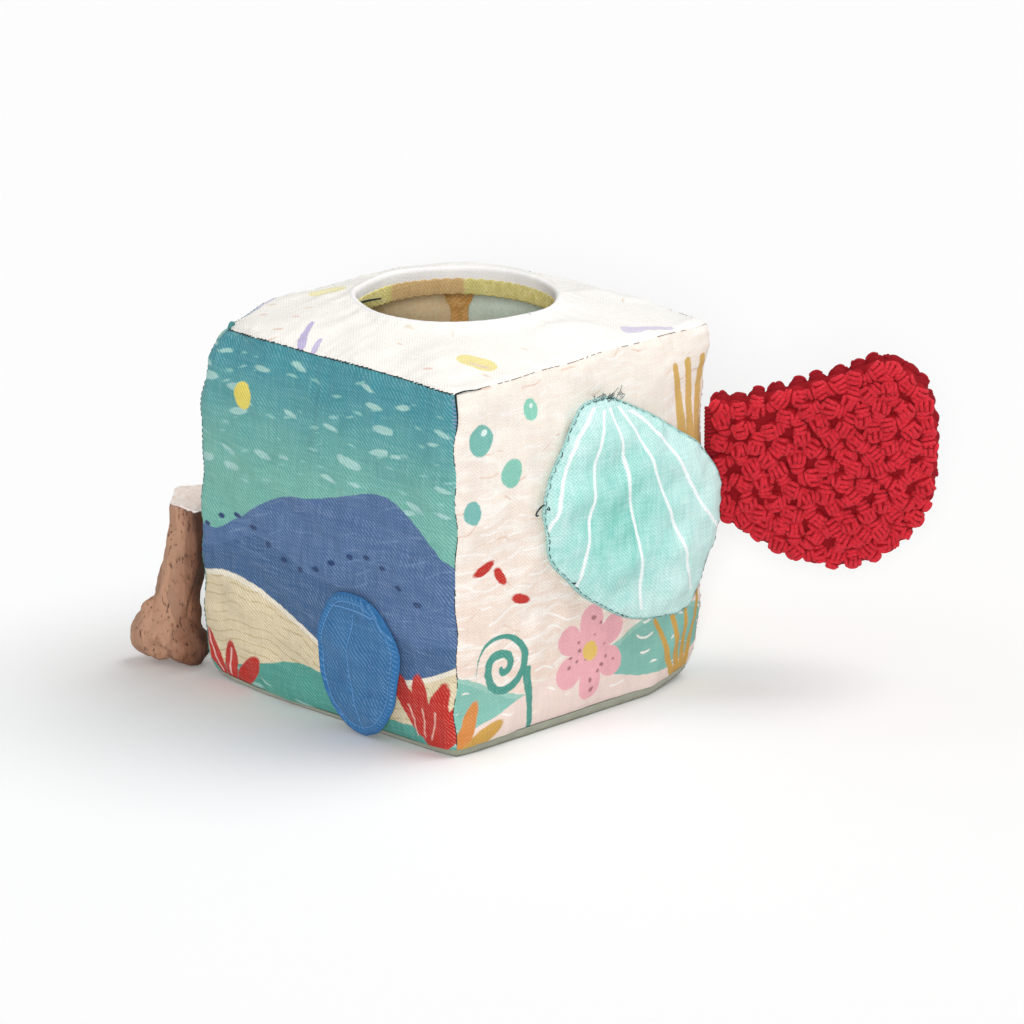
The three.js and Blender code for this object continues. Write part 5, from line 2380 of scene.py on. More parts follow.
@dataclass(frozen=True)
class Scallop:
    """The aqua scallop flap: a wadded, curled pad with ragged dark stitches. Sizes in millimetres."""

    gap: float = 0.45
    base: float = 0.9
    crown: float = 5.4
    crown_reach: float = 17.0
    back_rim: float = 0.5
    rib_width: float = 2.2
    rib_depth: float = 0.4
    fan_from: Point2 = (12.0, 74.0)
    puckers: int = 34
    pucker_depth: float = 0.55
    pleat_rise: float = 1.3
    pleat_tall: float = 4.5
    curl: float = 10.4
    curl_power: float = 1.8
    around: int = 160
    rings: int = 34
    rib_steps: int = 40
    # Each pleat's place across and up, and half its width
    pleats: tuple[Vector3, ...] = ((13.0, 111.0, 1.3), (18.5, 107.5, 1.4), (24.0, 104.0, 1.6))
    stitch_dips: tuple[float, ...] = (-0.3, 0.1, 0.16, 0.16, 0.1, -0.3)
    stitch_points: int = 620
    stitch_in: float = 0.75
    stitch_radius: float = 0.12
    dark_radius: float = 0.17
    dark_left_of: float = 14.0
    knots_at: tuple[int, ...] = (118, 196, 268)
    knot_radius: float = 0.22
    frays: int = 46
    fray_radius: float = 0.11
    loop_at: Point2 = (-29.2, 82.5)
    loop_radius: float = 0.3
    dents: Ripples = Ripples(12, 12.0, 30.0, 0.75)

    def place(self, spots: Array, out: Array) -> Array:
        """Points in front of the wall, by their place on it and how far out they are.

        Args:
            spots: Places, by their way across and up.
            out: How far out they are.

        Returns:
            The points, in millimetres.
        """
        share = clamp((spots[..., 0] - SCALLOP_OUTLINE.left) / SCALLOP_OUTLINE.width)
        depth = -self.gap - out - self.curl * share**self.curl_power
        return FRONT_RIGHT.point(spots[..., 0], spots[..., 1], depth)

    def front(self, spots: Array, edge: EdgeMap) -> Array:
        """How far out the front cloth lies: crowned, dented along its ribs and puckered at its edge.

        Args:
            spots: Places, by their way across and up.
            edge: The outline's edge map.

        Returns:
            The ways out.
        """
        away = np.maximum(edge.at(spots), 0)
        crown = self.crown * (1 - (1 - clamp(away / self.crown_reach)) ** 2.4)
        groove = np.zeros_like(away)
        for rib in SCALLOP_RIBS:
            nearest = line_distance(spots, even(spline(rib), self.rib_steps, False))
            groove = np.maximum(groove, bell(nearest, self.rib_width))
        turn = np.arctan2(spots[..., 1] - self.fan_from[1], spots[..., 0] - self.fan_from[0])
        pucker = self.pucker_depth * np.sin(turn * self.puckers + 3 * np.sin(turn * 5))
        pucker = pucker * np.exp(-away / 4.0) * ease(away / 1.2)
        wobble = self.dents.at(spots[..., 0], spots[..., 1]) * ease(away / 8.0)
        pleat = 0.0
        for left, up, across in self.pleats:
            nearest = np.hypot((spots[..., 0] - left) / across, (spots[..., 1] - up) / self.pleat_tall)
            pleat = pleat + self.pleat_rise * np.exp(-(nearest**2))
        groove = self.rib_depth * groove * ease(away / 5.0)
        return self.base + self.back_rim + crown - groove + wobble + pucker + pleat * ease(away)

    def build(self) -> None:
        """Makes the pad and its stitches."""
        outline = SCALLOP_OUTLINE.points(self.around)
        edge = EdgeMap(outline)
        spots = pad_grid(outline, self.rings)
        away = np.maximum(edge.at(spots), 0)
        away[-1] = 0
        front = self.place(spots, self.front(spots, edge))
        back = self.place(spots, (self.base + self.back_rim) * (1 - ease(away / 2.0)))
        piece = stuffed("scallop_pad", front, back, np.stack([away, spots[..., 1]], axis=-1))
        dress(piece, ScallopCloth(), "scallop", "scallop_cloth", "scallop_front", "scallop_back")
        self.stitches(outline, edge)

    def stitches(self, outline: Array, edge: EdgeMap) -> None:
        """Makes the running stitches round the edge, the frayed top and the loose loop.

        Args:
            outline: The scallop's outline.
            edge: The outline's edge map.
        """
        rng = np.random.default_rng(17)
        dark, teal = Strands(5), Strands(5)
        path = even(outline, self.stitch_points)
        arm = outline.mean(axis=0) - path
        inner = path + arm * (self.stitch_in / np.linalg.norm(arm, axis=1, keepdims=True))
        dips = np.array(self.stitch_dips)
        for start in range(0, len(path), len(dips) + 1):
            left = inner[start, 0] < self.dark_left_of
            if rng.random() < (0.06 if left else 0.5):
                continue
            line = np.take(inner, range(start, start + len(dips)), axis=0, mode="wrap")
            height = np.maximum(self.front(line, edge), self.base + self.back_rim) + dips
            sew = dark if left and rng.random() < 0.22 else teal
            sew.add(self.place(line, height), self.dark_radius if left else self.stitch_radius)
        for at_edge in self.knots_at:
            knot = inner[at_edge] + rng.normal(0, 0.32, (7, 2)).cumsum(axis=0) * 0.7
            height = np.maximum(self.front(knot, edge), self.base) + 0.4
            dark.add(self.place(knot, height), self.knot_radius)
        apex = outline[np.argmax(outline[:, 1])]
        for _ in range(self.frays):
            start = apex + rng.uniform((-7.5, -2.2), (5.0, 0.2))
            turn = rng.uniform(0.05, 0.95) * math.pi
            share = np.linspace(0, 1, 5)[:, None]
            way = np.array([[math.cos(turn), math.sin(turn)]])
            bend = way * share + rng.normal(0, 0.5, (1, 2)) * share**2
            line = start + bend * rng.uniform(0.8, 1.8)
            height = self.base + 1.0 + share[:, 0] * rng.uniform(0.2, 1.0)
            (dark if rng.random() < 0.3 else teal).add(self.place(line, height), self.fray_radius)
        turn = np.linspace(-0.4, 1.25, 14) * math.pi
        across = self.loop_at[0] - 2.3 * np.cos(turn)
        up = self.loop_at[1] + 1.6 * np.sin(turn) - 0.8 * np.cos(turn)
        loop = np.stack([across, up], axis=1)
        dark.add(self.place(loop, 1.2 + 0.5 * np.sin(turn)), self.loop_radius)
        dress(dark.build("scallop_stitches_dark"), Cloths.dark_thread, "scallop", "scallop_cloth")
        dress(teal.build("scallop_stitches_grey"), Cloths.grey_thread, "scallop", "scallop_cloth")


def stuffed(name: str, front: Array, back: Array, uvs: Array) -> bpy.types.Object:
    """Makes a closed pad from the rings of its front and of its back.

    Args:
        name: The object's name.
        front: The points of the front, ring by ring from the middle.
        back: The points of the back, likewise.
        uvs: Two numbers for each place, the same on both sides.

    Returns:
        The pad.
    """
    rings, around = front.shape[:2]
    faces = grid_faces(rings, around, True)
    both = faces + [tuple(rings * around + k for k in face[::-1]) for face in faces]
    points = np.concatenate([front.reshape(-1, 3), back.reshape(-1, 3)])
    pad = make_object(name, points, both, np.tile(uvs.reshape(-1, 2), (2, 1)))
    face_outwards(pad, 0.02)
    return pad


@dataclass(frozen=True)
class Crochet:
    """The red bobble crochet piece, in the upright plane through the right seam. Sizes in millimetres."""

    root_radius: float = 88.2
    edge_stuffing: float = 0.9
    crown: float = 4.2
    crown_reach: float = 16.0
    root_length: float = 20.0
    root_share: float = 0.4
    pitch: float = 7.3
    row_turn: float = 38.0
    rows_each_way: int = 10
    fill_from: Point2 = (4.0, 42.0)
    fill_to: Point2 = (78.0, 116.0)
    fill_gap: float = 0.72
    pushes: int = 40
    push_gap: float = 0.94
    yarn: float = 0.76
    bobble_radius: float = 4.0
    bobble_rise: float = 2.5
    rim_inset: float = 3.5
    rim_bobbles: int = 35
    inner_inset: float = 6.2
    back_shift: Point2 = (0.8, 1.5)
    tab_pitch: float = 1.4
    tab_half: float = 2.0
    tab_yarn: float = 0.68
    around: int = 150
    rings: int = 24
    place_unrest: float = 0.15
    turn_unrest: float = 0.5
    core_girth: float = 0.94
    loop_steps: int = 11
    loop_half: Point2 = (0.46, 0.6)
    loop_turn: float = 0.14
    loop_sway: float = 0.06
    loop_lift: float = 0.3
    loop_dip: float = 0.6
    # Each loop's middle, ahead and aside in shares of the radius, and its turn
    loops: tuple[Vector3, ...] = (
        *((at, aside, 0.0) for at, aside in ((-0.42, -0.66), (-0.4, -0.24), (-0.4, 0.18), (-0.42, 0.6))),
        *((at, aside, 1.57) for at, aside in ((-0.98, 0.0), (0.24, -0.06), (0.64, 0.0), (0.98, 0.0))),
    )

    def place(self, spots: Array, out: Array) -> Array:
        """Points in the piece's plane, by their way from the tab, their height and how far out they are.

        Args:
            spots: Places, by their way across and up.
            out: How far out they are.

        Returns:
            The points, in millimetres.
        """
        reach = (self.root_radius + spots[..., 0]) / math.sqrt(2)
        side = np.asarray(out) / math.sqrt(2)
        return np.stack([reach + side, reach - side, np.broadcast_to(spots[..., 1], side.shape)], axis=-1)

    def swell(self, spots: Array, edge: EdgeMap) -> Array:
        """Half the stuffing's thickness at places on the piece.

        Args:
            spots: Places, by their way across and up.
            edge: The outline's edge map.

        Returns:
            Half the thickness.
        """
        share = clamp(spots[..., 0] / self.root_length)
        root = self.root_share + (1 - self.root_share) * share * (2 - share)
        away = clamp(edge.at(spots) / self.crown_reach)
        return (self.edge_stuffing + self.crown * (1 - (1 - away) ** 2.2)) * root

    def bobble(
        self, yarn: Strands, cores: Strands, spot: Array, turn: float, edge: EdgeMap, side: int
    ) -> None:
        """Adds one bobble: a round core with short plump loops of yarn on it, some along it, some across.

        Args:
            yarn: Takes the loops.
            cores: Takes the core.
            spot: The bobble's place.
            turn: The way that it lies, in radians.
            edge: The piece's edge map.
            side: 1 on the front, -1 on the back.
        """
        rng = np.random.default_rng(int(abs(spot[0]) * 977 + abs(spot[1]) * 131 + side + 2))
        turn = turn + int(rng.integers(4)) * math.pi / 2
        ahead = np.array([math.cos(turn), math.sin(turn)])
        across = np.array([-ahead[1], ahead[0]]) * (1 if rng.random() < 0.7 else -1)
        radius = self.bobble_radius * rng.uniform(0.95, 1.05)
        base = self.swell(spot, edge) - 0.1
        share = np.linspace(-1, 1, self.loop_steps)
        middle = spot + ahead * (share * radius * 0.9)[:, None]
        girth = radius * self.core_girth * np.sqrt(1.03 - share**2)
        facing = self.place(np.zeros(2), side) - self.place(np.zeros(2), 0)
        core = self.place(middle, np.full(len(share), side * base))
        cores.add(core, girth, facing, self.bobble_rise / radius)
        for a0, b0, way in self.loops:
            way = way + rng.normal(0, self.loop_turn)
            reach = rng.uniform(*self.loop_half)
            bend = rng.normal(0, self.loop_sway) * (1 - share**2)
            a = a0 + reach * share * math.cos(way) - bend * math.sin(way)
            b = b0 + reach * share * math.sin(way) + bend * math.cos(way)
            over = np.maximum(np.hypot(a, b) / 0.98, 1.0)
            a, b = a / over, b / over
            path = spot + radius * (ahead * a[:, None] + across * b[:, None])
            dome = self.bobble_rise * np.sqrt(1 - a * a - b * b) + self.loop_lift
            dome = dome - self.loop_dip * share**4 + rng.normal(0, 0.07)
            yarn.add(self.place(path, side * (base + dome)), self.yarn * (1 - 0.3 * share**4))

    def lattice(self, outline: Array, edge: EdgeMap, rim: Array) -> Array:
        """The places of the bobbles within the rim: a turned square grid, filled up and pushed apart.

        Args:
            outline: The piece's outline.
            edge: The outline's edge map.
            rim: The places of the rim's bobbles.

        Returns:
            The places.
        """
        turn = math.radians(self.row_turn)
        across = np.array([math.cos(turn), math.sin(turn)])
        up = np.array([-across[1], across[0]])
        steps = np.arange(-self.rows_each_way, self.rows_each_way + 1) * self.pitch
        turned = (steps[:, None, None] * across + steps[None, :, None] * up).reshape(-1, 2)
        grid = outline.mean(axis=0) + turned
        spots = list(grid[edge.at(grid) > self.inner_inset])
        lines = [np.arange(low, high) for low, high in zip(self.fill_from, self.fill_to)]
        fine = np.stack(np.meshgrid(*lines), axis=-1).reshape(-1, 2)
        for spot in fine[edge.at(fine) > self.inner_inset * 0.8]:
            nearest = np.linalg.norm(np.concatenate([rim, spots]) - spot, axis=1).min()
            if nearest > self.pitch * self.fill_gap:
                spots.append(spot)
        spots = np.array(spots)
        for _ in range(self.pushes):
            gaps = spots[:, None] - np.concatenate([spots, rim])[None]
            away = np.linalg.norm(gaps, axis=2, keepdims=True) + 1e-9
            push = gaps / away * np.maximum(self.pitch * self.push_gap - away, 0)
            spots = spots + 0.2 * push.sum(axis=1)
        return spots

    def build(self) -> None:
        """Makes the body, the bobbles of both sides, the rim and the tab."""
        outline = CROCHET_OUTLINE.points(self.around)
        edge = EdgeMap(outline)
        spots = pad_grid(outline, self.rings)
        body = self.swell(spots, edge)
        body[-1] *= 0.2
        pad = stuffed("crochet_body", self.place(spots, body), self.place(spots, -body), spots)
        # The body shows in the pits between the bobbles, in a darker yarn as painted shade
        dress(pad, Cloths.pit_red, "crochet", "dark_red_yarn", "crochet_back")
        rng = np.random.default_rng(29)
        mean_turn = math.radians(self.row_turn + 50)
        rim, turns = self.rim(outline)
        inner = self.lattice(outline, edge, rim)
        # The front's cores and all of the back are in darker copies of the yarn, as painted shade
        for side, name, finish, core, slot, nodes in (
            (1, "front", Cloths.red, Cloths.shaded_core_red, "red_yarn", ("crochet_front",)),
            (-1, "back", Cloths.shaded_red, Cloths.pit_red, "dark_red_yarn", ()),
        ):
            yarn, cores = Strands(8), Strands(12)
            for spot in inner:
                place = spot + rng.normal(0, self.place_unrest, 2)
                turn = mean_turn + rng.normal(0, self.turn_unrest)
                self.bobble(yarn, cores, place, turn, edge, side)
            for spot, turn in zip(rim, turns):
                place = spot if side > 0 else spot + self.back_shift
                self.bobble(yarn, cores, place, turn, edge, side)
            dress(yarn.build(f"crochet_bobbles_{name}"), finish, "crochet", slot, *nodes)
            dress(cores.build(f"crochet_bobble_cores_{name}"), core, "crochet", slot)
        self.tab()

    def rim(self, outline: Array) -> tuple[Array, list[float]]:
        """The places of the bobbles along the edge, and the way that each lies.

        Args:
            outline: The piece's outline.

        Returns:
            The places and the turns.
        """
        path = even(outline, self.rim_bobbles)
        spots, turns = [], []
        for index, spot in enumerate(path):
            along = path[(index + 1) % self.rim_bobbles] - path[index - 1]
            out = np.array([along[1], -along[0]]) / np.linalg.norm(along)
            if points_inside((spot + out)[None], outline)[0]:
                out = -out
            spots.append(spot - out * self.rim_inset)
            turns.append(math.atan2(out[1], out[0]) + 0.5 * math.sin(index * 2.4))
        return np.array(spots), turns

    def tab(self) -> None:
        """Makes the chain of yarn that the piece hangs on."""
        chain = Strands(6)
        low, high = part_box("crochet_tab")
        share = np.linspace(0, 1, 7)
        for height in np.arange(low.z / MM + 0.8, high.z / MM - 0.8, self.tab_pitch):
            for side in (-1, 1):
                across = -self.tab_half + 2 * self.tab_half * share
                loop = np.stack([across, height + side * 0.5 * share], axis=1)
                chain.add(self.place(loop, side * (0.3 + 0.5 * np.sin(share * math.pi))), self.tab_yarn)
        # The chain is in a darker copy of the yarn, as painted shade
        dress(chain.build("crochet_tab_chain"), Cloths.shaded_red, "crochet", "dark_red_yarn", "crochet_tab")


@dataclass(frozen=True)
class Branch:
    """The carved branch and the tape that it hangs on. Sizes in millimetres and shares of its height."""

    height: float = 67.6
    voxel: float = 0.65
    cut_middle: float = 61.9
    cut_at: Point2 = (-73.5, -57.0)
    cut_slope: float = 0.28
    swell: float = 0.45
    # The stem's middle away from the box, along it and up, and its radius
    sections: tuple[tuple[float, float, float, float], ...] = (
        (0.126, 0.118, 1.0, 0.102),
        (0.127, 0.118, 0.976, 0.111),
        (0.139, 0.117, 0.8, 0.112),
        (0.178, 0.105, 0.607, 0.115),
        (0.216, 0.092, 0.473, 0.11),
        (0.24, 0.08, 0.355, 0.112),
        (0.243, 0.064, 0.222, 0.124),
        (0.235, 0.06, 0.12, 0.12),
    )
    # Each lump's middle away, along and up, and half its width and height
    lobes: tuple[tuple[float, float, float, float, float], ...] = (
        (0.308, 0.012, 0.176, 0.114, 0.16),
        (0.228, 0.056, 0.18, 0.118, 0.13),
        (0.168, 0.09, 0.098, 0.108, 0.098),
    )
    floor_gap: float = 0.4
    bluntness: float = 4.5
    cuts: int = 16
    cut_reach: float = 0.97
    ridges: Ripples = Ripples(4, 9.0, 20.0, 1.0)
    marks: Ripples = Ripples(7, 3.0, 8.0, 0.14)
    dents: Ripples = Ripples(9, 8.0, 20.0, 0.4)
    stem_rows: int = 40
    stem_around: int = 96
    stem_facets: int = 5
    tape_across: int = 13
    tape_rib: float = 0.9
    tape_thickness: float = 0.9

    def skin(self) -> Array:
        """The stem's rings, each knobbly in its own way.

        Returns:
            The rings' points, from the top down.
        """
        knots = np.array(self.sections)
        rows = even(spline(knots, 6), self.stem_rows, False)
        angle = angles(self.stem_around)
        away, along, up, radius = (rows[:, k, None] * self.height for k in range(4))
        facet_turn = TAU / self.stem_facets
        flat = np.mod(angle + 0.25 * np.sin(up / 7.0) + 0.5, facet_turn) - facet_turn / 2
        facet = 0.9 / np.cos(flat) + 0.04 * np.cos(3 * angle - 0.9 + up / 40.0)
        x = -CUBE.half - away + radius * facet * np.cos(angle)
        y = -CUBE.half + along + radius * facet * np.sin(angle)
        return np.stack([x, y, np.broadcast_to(up, x.shape)], axis=-1)

    def build_wood(self) -> bpy.types.Object:
        """Makes the wood: the stem and its lobes as one lump, then carved.

        Returns:
            The wood.
        """
        rings = self.skin()[::-1]
        rows, around = rings.shape[:2]
        faces = grid_faces(rows, around, True)
        faces.append(tuple(range(around))[::-1])
        faces.append(tuple((rows - 1) * around + k for k in range(around)))
        stem = make_object("branch_wood", rings.reshape(-1, 3), faces)
        shape = bmesh.new()
        shape.from_mesh(stem.data)
        knife = np.random.default_rng(41).normal(size=(self.cuts, 3))
        knife = [Vector(way / np.linalg.norm(way)) for way in knife]
        for away, along, up, across, tall in self.lobes:
            made = bmesh.ops.create_icosphere(shape, subdivisions=4, radius=1.0)
            size = Vector((across, across, tall)) * self.height * MM
            middle = Vector((
                (-CUBE.half - away * self.height) * MM,
                (along * self.height - CUBE.half) * MM,
                (up * self.height + self.floor_gap) * MM,
            ))
            for vertex in made["verts"]:
                spot = vertex.co / sum(abs(a) ** self.bluntness for a in vertex.co) ** (1 / self.bluntness)
                for way in knife:
                    spot -= way * max(spot.dot(way) - self.cut_reach, 0.0)
                vertex.co = Vector(a * b for a, b in zip(spot, size)) + middle
        shape.to_mesh(stem.data)
        shape.free()
        remesh = stem.modifiers.new("lump", "REMESH")
        remesh.mode = "VOXEL"
        remesh.voxel_size = self.voxel * MM
        apply_modifiers(stem)
        self.carve(stem)
        dress(stem, Cloths.bark, "branch", "carved_wood", "branch")
        return stem

    def carve(self, piece: bpy.types.Object) -> None:
        """Moves the wood's points in and out for its knife marks and dents.

        Args:
            piece: The wood.
        """
        mesh = piece.data
        places = np.zeros(len(mesh.vertices) * 3)
        normals = np.zeros(len(mesh.vertices) * 3)
        mesh.vertices.foreach_get("co", places)
        mesh.vertices.foreach_get("normal", normals)
        places, normals = places.reshape(-1, 3) / MM, normals.reshape(-1, 3)
        x, y, z = places.T
        ridges = 0.45 - 0.6 * np.abs(self.ridges.at(x * 1.5 - y * 1.3, z * 0.42))
        knife = ridges + self.marks.at(x * 1.4 + y, z * 0.7) + self.dents.at(y * 1.5, z)
        places = places + normals * (knife + self.swell)[:, None]
        across = (places[:, 1] - self.cut_at[1]) - (places[:, 0] - self.cut_at[0])
        cut = self.cut_middle + self.cut_slope * across / math.sqrt(2)
        places[:, 2] = np.clip(places[:, 2], self.floor_gap, cut + 0.12 * knife)
        mesh.vertices.foreach_set("co", (places * MM).ravel())
        mesh.shade_smooth()
        mesh.update()

    def ribbon(self, name: str, node: str, body: str, rows: Array) -> bpy.types.Object:
        """Makes a woven tape along a middle line, of the CAD node's own width.

        Args:
            name: The object's name.
            node: The CAD node that it stands for.
            body: The body that it rides on.
            rows: The x and z of its middle line.

        Returns:
            The tape.
        """
        low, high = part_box(node)
        side = np.linspace(low.y / MM, high.y / MM, self.tape_across)
        grid = np.array([[(x, y, z) for y in side] for x, z in rows])
        ahead = np.gradient(grid[:, 0], axis=0)
        normal = np.cross(ahead, [0.0, 1.0, 0.0])
        normal /= np.linalg.norm(normal, axis=1, keepdims=True)
        ribs = 0.06 * np.sin(side * TAU / self.tape_rib)[None, :, None]
        front = grid + normal[:, None] * (self.tape_thickness / 2 + ribs)
        back = grid - normal[:, None] * (self.tape_thickness / 2 + ribs)
        ring = np.concatenate([front, back[:, ::-1]], axis=1)
        faces = grid_faces(len(rows), ring.shape[1], True)
        faces.append(tuple(range(ring.shape[1])))
        faces.append(tuple((len(rows) - 1) * ring.shape[1] + k for k in range(ring.shape[1]))[::-1])
        piece = make_object(name, ring.reshape(-1, 3), faces)
        face_outwards(piece)
        return dress(piece, Cloths.tape, body, "tape_cotton", node)

    def build(self) -> None:
        """Makes the branch, its tape and the tape's sewn end."""
        self.build_wood()
        low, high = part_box("branch_tape")
        share = np.linspace(0, 1, 16)
        start = np.array([low.x / MM + 0.5, low.z / MM])
        end = np.array([high.x / MM - 0.5, high.z / MM])
        rows = start + (end - start) * share[:, None]
        rows[:, 0] -= 0.25 * np.sin(share * math.pi)
        tape = self.ribbon("branch_hanging_tape", "branch_tape", "branch", rows)
        low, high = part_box("branch_tape_end")
        middle = (low.x + high.x) / 2 / MM - 0.1
        heights = np.linspace(low.z / MM, high.z / MM, 14)
        rows = np.stack([middle - 0.25 * np.linspace(-1, 1, 14), heights], axis=1)
        sewn = self.ribbon("branch_tape_sewn_end", "branch_tape_end", "box", rows)
        self.tape_stitches(low, high, middle)

    def tape_stitches(self, low: Vector, high: Vector, middle: float) -> None:
        """Makes the box of stitches that holds the tape's end.

        Args:
            low: The low corner of the end's box.
            high: Its high corner.
            middle: The x of its middle line.
        """
        sew = Strands(5)
        steps, stitch = 25, 5
        y0, y1 = low.y / MM + 0.9, high.y / MM - 0.9
        z0, z1 = low.z / MM + 1.2, high.z / MM - 1.0
        corners = [(y0, z0), (y1, z0), (y1, z1), (y0, z1), (y0, z0), (y1, z1)]
        for (ya, za), (yb, zb) in zip(corners, corners[1:]):
            share = np.linspace(0, 1, steps)
            lift = np.where(np.arange(steps) % stitch == stitch - 1, 0.35, 0.0)
            x = middle - 0.62 + lift
            sew.add(np.stack([x, ya + (yb - ya) * share, za + (zb - za) * share], axis=1), 0.17)
        dress(sew.build("tape_stitches"), Cloths.brown_thread, "box", "tape_cotton")


def apply_modifiers(piece: bpy.types.Object) -> None:
    """Makes a piece's modifiers part of its mesh.

    Args:
        piece: The piece.
    """
    graph = bpy.context.evaluated_depsgraph_get()
    made = bpy.data.meshes.new_from_object(piece.evaluated_get(graph))
    piece.modifiers.clear()
    old = piece.data
    piece.data = made
    bpy.data.meshes.remove(old)


@dataclass(frozen=True)
class FoldedCloths:
    """The three folded cloths. Each is one strip laid to and fro. Sizes in millimetres."""

    layers: int = 8
    thickness: float = 1.1
    along: int = 30
    across: int = 34

    def build_cloth(self, name: str, finish: Finish, slot: str, seed: int) -> bpy.types.Object:
        """Makes one folded cloth in the box of its CAD node.

        Args:
            name: Its CAD node and body.
            finish: Its cloth.
            slot: Its material slot.
            seed: Fixes its creases.

        Returns:
            The cloth.
        """
        low, high = (Vector(corner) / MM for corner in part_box(name))
        tall = high.z - low.z
        pitch = tall / self.layers
        round_by = pitch / 2
        reach = (high.x - low.x) / 2 - round_by
        rng = np.random.default_rng(seed)
        path = []
        for layer in range(self.layers):
            way = 1 if layer % 2 == 0 else -1
            height = low.z + pitch * (layer + 0.5)
            end = reach - rng.uniform(0.0, 1.6)
            for x in np.linspace(-end, end, self.along):
                path.append((way * x, height))
            if layer < self.layers - 1:
                for turn in np.linspace(-math.pi / 2, math.pi / 2, 7)[1:-1]:
                    x = way * (end + round_by * math.cos(turn))
                    path.append((x, height + round_by * (1 + math.sin(turn))))
        path = np.array(path)
        wide = np.linspace(low.y + 0.4, high.y - 0.4, self.across)
        crinkle = Ripples(seed, 7.0, 19.0, 0.18)
        edge = Ripples(seed + 1, 9.0, 26.0, 0.5)
        x, y = np.meshgrid(path[:, 0], wide, indexing="ij")
        sag = crinkle.at(x, y + path[:, 1:2] * 3)
        y = y + edge.at(x * 0.5, path[:, 1:2] * 5) * np.sign(y)
        z = np.clip(path[:, 1:2] + sag, low.z + 0.3, high.z - 0.3)
        points = np.stack([x, y, z], axis=-1)
        piece = make_object(f"{name}_cloth", points.reshape(-1, 3), grid_faces(len(path), self.across))
        solid = piece.modifiers.new("thick", "SOLIDIFY")
        solid.thickness = self.thickness * 0.55 * MM
        solid.offset = 0
        apply_modifiers(piece)
        dress(piece, finish, name, slot, name)
        return piece

    def build(self) -> None:
        """Makes the three cloths."""
        finishes = {"peach": Cloths.peach, "mint": Cloths.mint, "cream": Cloths.cream}
        for level, color, seed in (("bottom", "peach", 61), ("middle", "mint", 62), ("top", "cream", 63)):
            self.build_cloth(f"tissue_{level}", finishes[color], f"{color}_cloth", seed)


@dataclass(frozen=True)
class LooseEnds:
    """Small ends of thread: by the hole, at the left corner and at the front corner. In millimetres."""

    hole_radius: float = 34.2
    hole_height: float = 127.9
    corner_at: Vector3 = (-62.5, -62.5, 129.5)
    corner_thread: float = 0.7
    whip_pitch: float = 1.35
    whip_thread: float = 0.24

    def build(self) -> None:
        """Makes them all."""
        dark, teal = Strands(5), Strands(6)
        share = np.linspace(0, 1, 12)
        angle = math.radians(225) - share * 0.28
        radius = self.hole_radius - 6.5 * share
        height = self.hole_height - share
        dark.add(CUBE.soften(radius * np.cos(angle), radius * np.sin(angle), height), 0.55 - 0.25 * share)
        turn = np.linspace(0, math.pi, 10)
        corner = CUBE.soften(*self.corner_at)
        loop = corner + np.stack([-0.6 * np.cos(turn), 1.6 * np.cos(turn), 1.6 * np.sin(turn)], axis=1)
        teal.add(loop, self.corner_thread)
        self.front_corner(dark)
        dress(dark.build("loose_thread"), Cloths.dark_thread, "box", "hem_cloth")
        dress(teal.build("corner_loop"), Cloths.teal_thread, "box", "lagoon_print")

    def front_corner(self, dark: Strands) -> None:
        """Adds the dark thread that turns the front top corner, and makes its pale whip stitches.

        Args:
            dark: Takes the dark thread.
        """
        reach = CUBE.half - 0.35
        share = np.linspace(0, 1, 14)
        back = CUBE.soften(reach, -reach + 11.5 * share, CUBE.edge - 0.4 + 0.3 * np.sin(share * 5))
        down = CUBE.soften(reach, -reach, CUBE.edge - 0.5 - 13.0 * share)
        dark.add(back, 0.34 - 0.18 * share)
        dark.add(down, 0.42 - 0.2 * share)
        pale = Strands(5)
        for height in np.arange(CUBE.edge - 12.0, CUBE.edge - 1.5, self.whip_pitch):
            step = np.linspace(0, 1, 6)
            across = reach - 0.2 - 1.5 * step
            out = -CUBE.half + 0.25 - 0.35 * np.sin(step * math.pi)
            pale.add(CUBE.soften(across, out, height + 0.3 * step), self.whip_thread)
        dress(pale.build("corner_whips"), Cloths.pale_blue_thread, "box", "sea_print")


BRANCH = Branch()


def dress_inside() -> None:
    """Gives the foam boards and the wadding, which the cloths hide, their own finish."""
    for name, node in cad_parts.items():
        if name.endswith("_foam"):
            finish = Cloths.foam
        elif name in ("scallop_wadding", "crochet_stuffing"):
            finish = Cloths.wadding
        else:
            continue
        node.data.materials.clear()
        node.data.materials.append(finish.material())


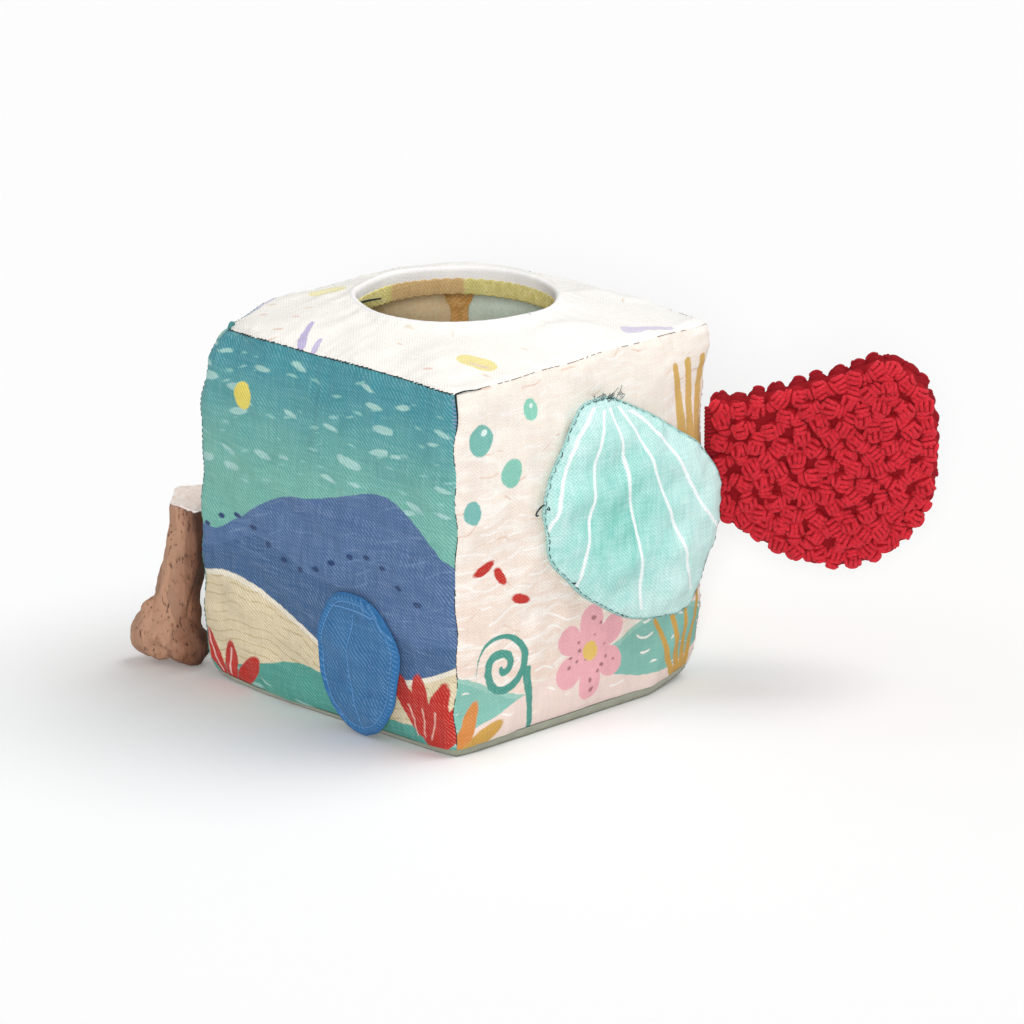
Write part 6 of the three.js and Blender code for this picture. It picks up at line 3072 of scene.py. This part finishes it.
@dataclass(frozen=True)
class Studio:
    """The pale floor, the soft light and the camera. Lengths in metres."""

    azimuth: float = 45.0
    elevation: float = 17.5
    distance: float = 2.5
    target: tuple[float, float, float] = (0.0144, 0.0124, 0.0604)
    view_width: float = 0.358
    # Each lamp's name, azimuth, elevation, strength and spread
    lamps: tuple[tuple[str, float, float, float, float], ...] = (
        ("back_lamp", 148.0, 60.0, 0.56, 44.0),
        ("front_lamp", 43.0, 17.0, 0.52, 8.0),
        ("left_lamp", -60.0, 40.0, 0.1, 60.0),
    )
    room_light: float = 0.3
    sensor: float = 36.0
    floor_reach: float = 12.0
    floor: str = "e4e4e4"
    floor_seen: str = "fdfdfd"

    def camera(self) -> None:
        """Makes the camera at the photograph's angle."""
        back = self.toward(self.azimuth, self.elevation)
        data = bpy.data.cameras.new("photo_camera")
        camera = bpy.data.objects.new("photo_camera", data)
        bpy.context.scene.collection.objects.link(camera)
        data.sensor_width = self.sensor
        data.lens = data.sensor_width * self.distance / self.view_width
        data.clip_start, data.clip_end = 0.05, 50.0
        camera.location = Vector(self.target) + back * self.distance
        camera.rotation_mode = "QUATERNION"
        camera.rotation_quaternion = (-back).to_track_quat("-Z", "Y")
        bpy.context.scene.camera = camera

    def toward(self, azimuth: float, elevation: float) -> Vector:
        """The direction from the object to a place in the room, in degrees. The camera's azimuth is 45."""
        turn, tilt = math.radians(azimuth), math.radians(elevation)
        return Vector((math.sin(turn) * math.cos(tilt), -math.cos(turn) * math.cos(tilt), math.sin(tilt)))

    def light(self, name: str, azimuth: float, elevation: float, strength: float, spread: float) -> None:
        """Makes one far, wide lamp, whose light is as strong all over the floor.

        Args:
            name: Its name.
            azimuth: Where it stands, in degrees.
            elevation: How high it stands, in degrees.
            strength: How bright it makes a white surface that faces it.
            spread: How wide it looks, in degrees.
        """
        data = bpy.data.lights.new(name, "SUN")
        data.energy = math.pi * strength
        data.angle = math.radians(spread)
        lamp = bpy.data.objects.new(name, data)
        bpy.context.scene.collection.objects.link(lamp)
        lamp.rotation_mode = "QUATERNION"
        lamp.rotation_quaternion = self.toward(azimuth, elevation).to_track_quat("Z", "Y")

    def ground(self) -> None:
        """Makes the floor."""
        mesh = bpy.data.meshes.new("floor")
        corners = [(self.floor_reach * x, self.floor_reach * y, 0) for x, y in CORNERS]
        mesh.from_pydata(corners, [], [(0, 1, 2, 3)])
        floor = bpy.data.objects.new("floor", mesh)
        bpy.context.scene.collection.objects.link(floor)
        shade = Shade("floor_paint")
        seen = Field(shade, shade.node("ShaderNodeLightPath").outputs["Is Camera Ray"])
        shade.surface(shade.over(srgb(self.floor), srgb(self.floor_seen), seen), 0.9, Specular_IOR_Level=0.0)
        mesh.materials.append(shade.material)

    def build(self) -> None:
        """Makes the stage."""
        self.camera()
        self.ground()
        for lamp in self.lamps:
            self.light(*lamp)
        world = bpy.data.worlds.new("soft_room")
        bpy.context.scene.world = world
        world.use_nodes = True
        back = world.node_tree.nodes["Background"]
        back.inputs["Color"].default_value = (1.0, 1.0, 1.0, 1.0)
        back.inputs["Strength"].default_value = self.room_light
        bpy.context.scene.view_settings.view_transform = "Standard"


def main() -> None:
    """Builds every piece over the frame."""
    logging.basicConfig(level=logging.INFO, format="%(message)s")
    Studio().build()
    parts = (COVERS, Opening(), Linings(), Leaf(), Scallop(), Crochet(), BRANCH, FoldedCloths(), LooseEnds())
    for part in parts:
        part.build()
        log.info("%s done", type(part).__name__)
    dress_inside()


if __name__ == "__main__":
    main()
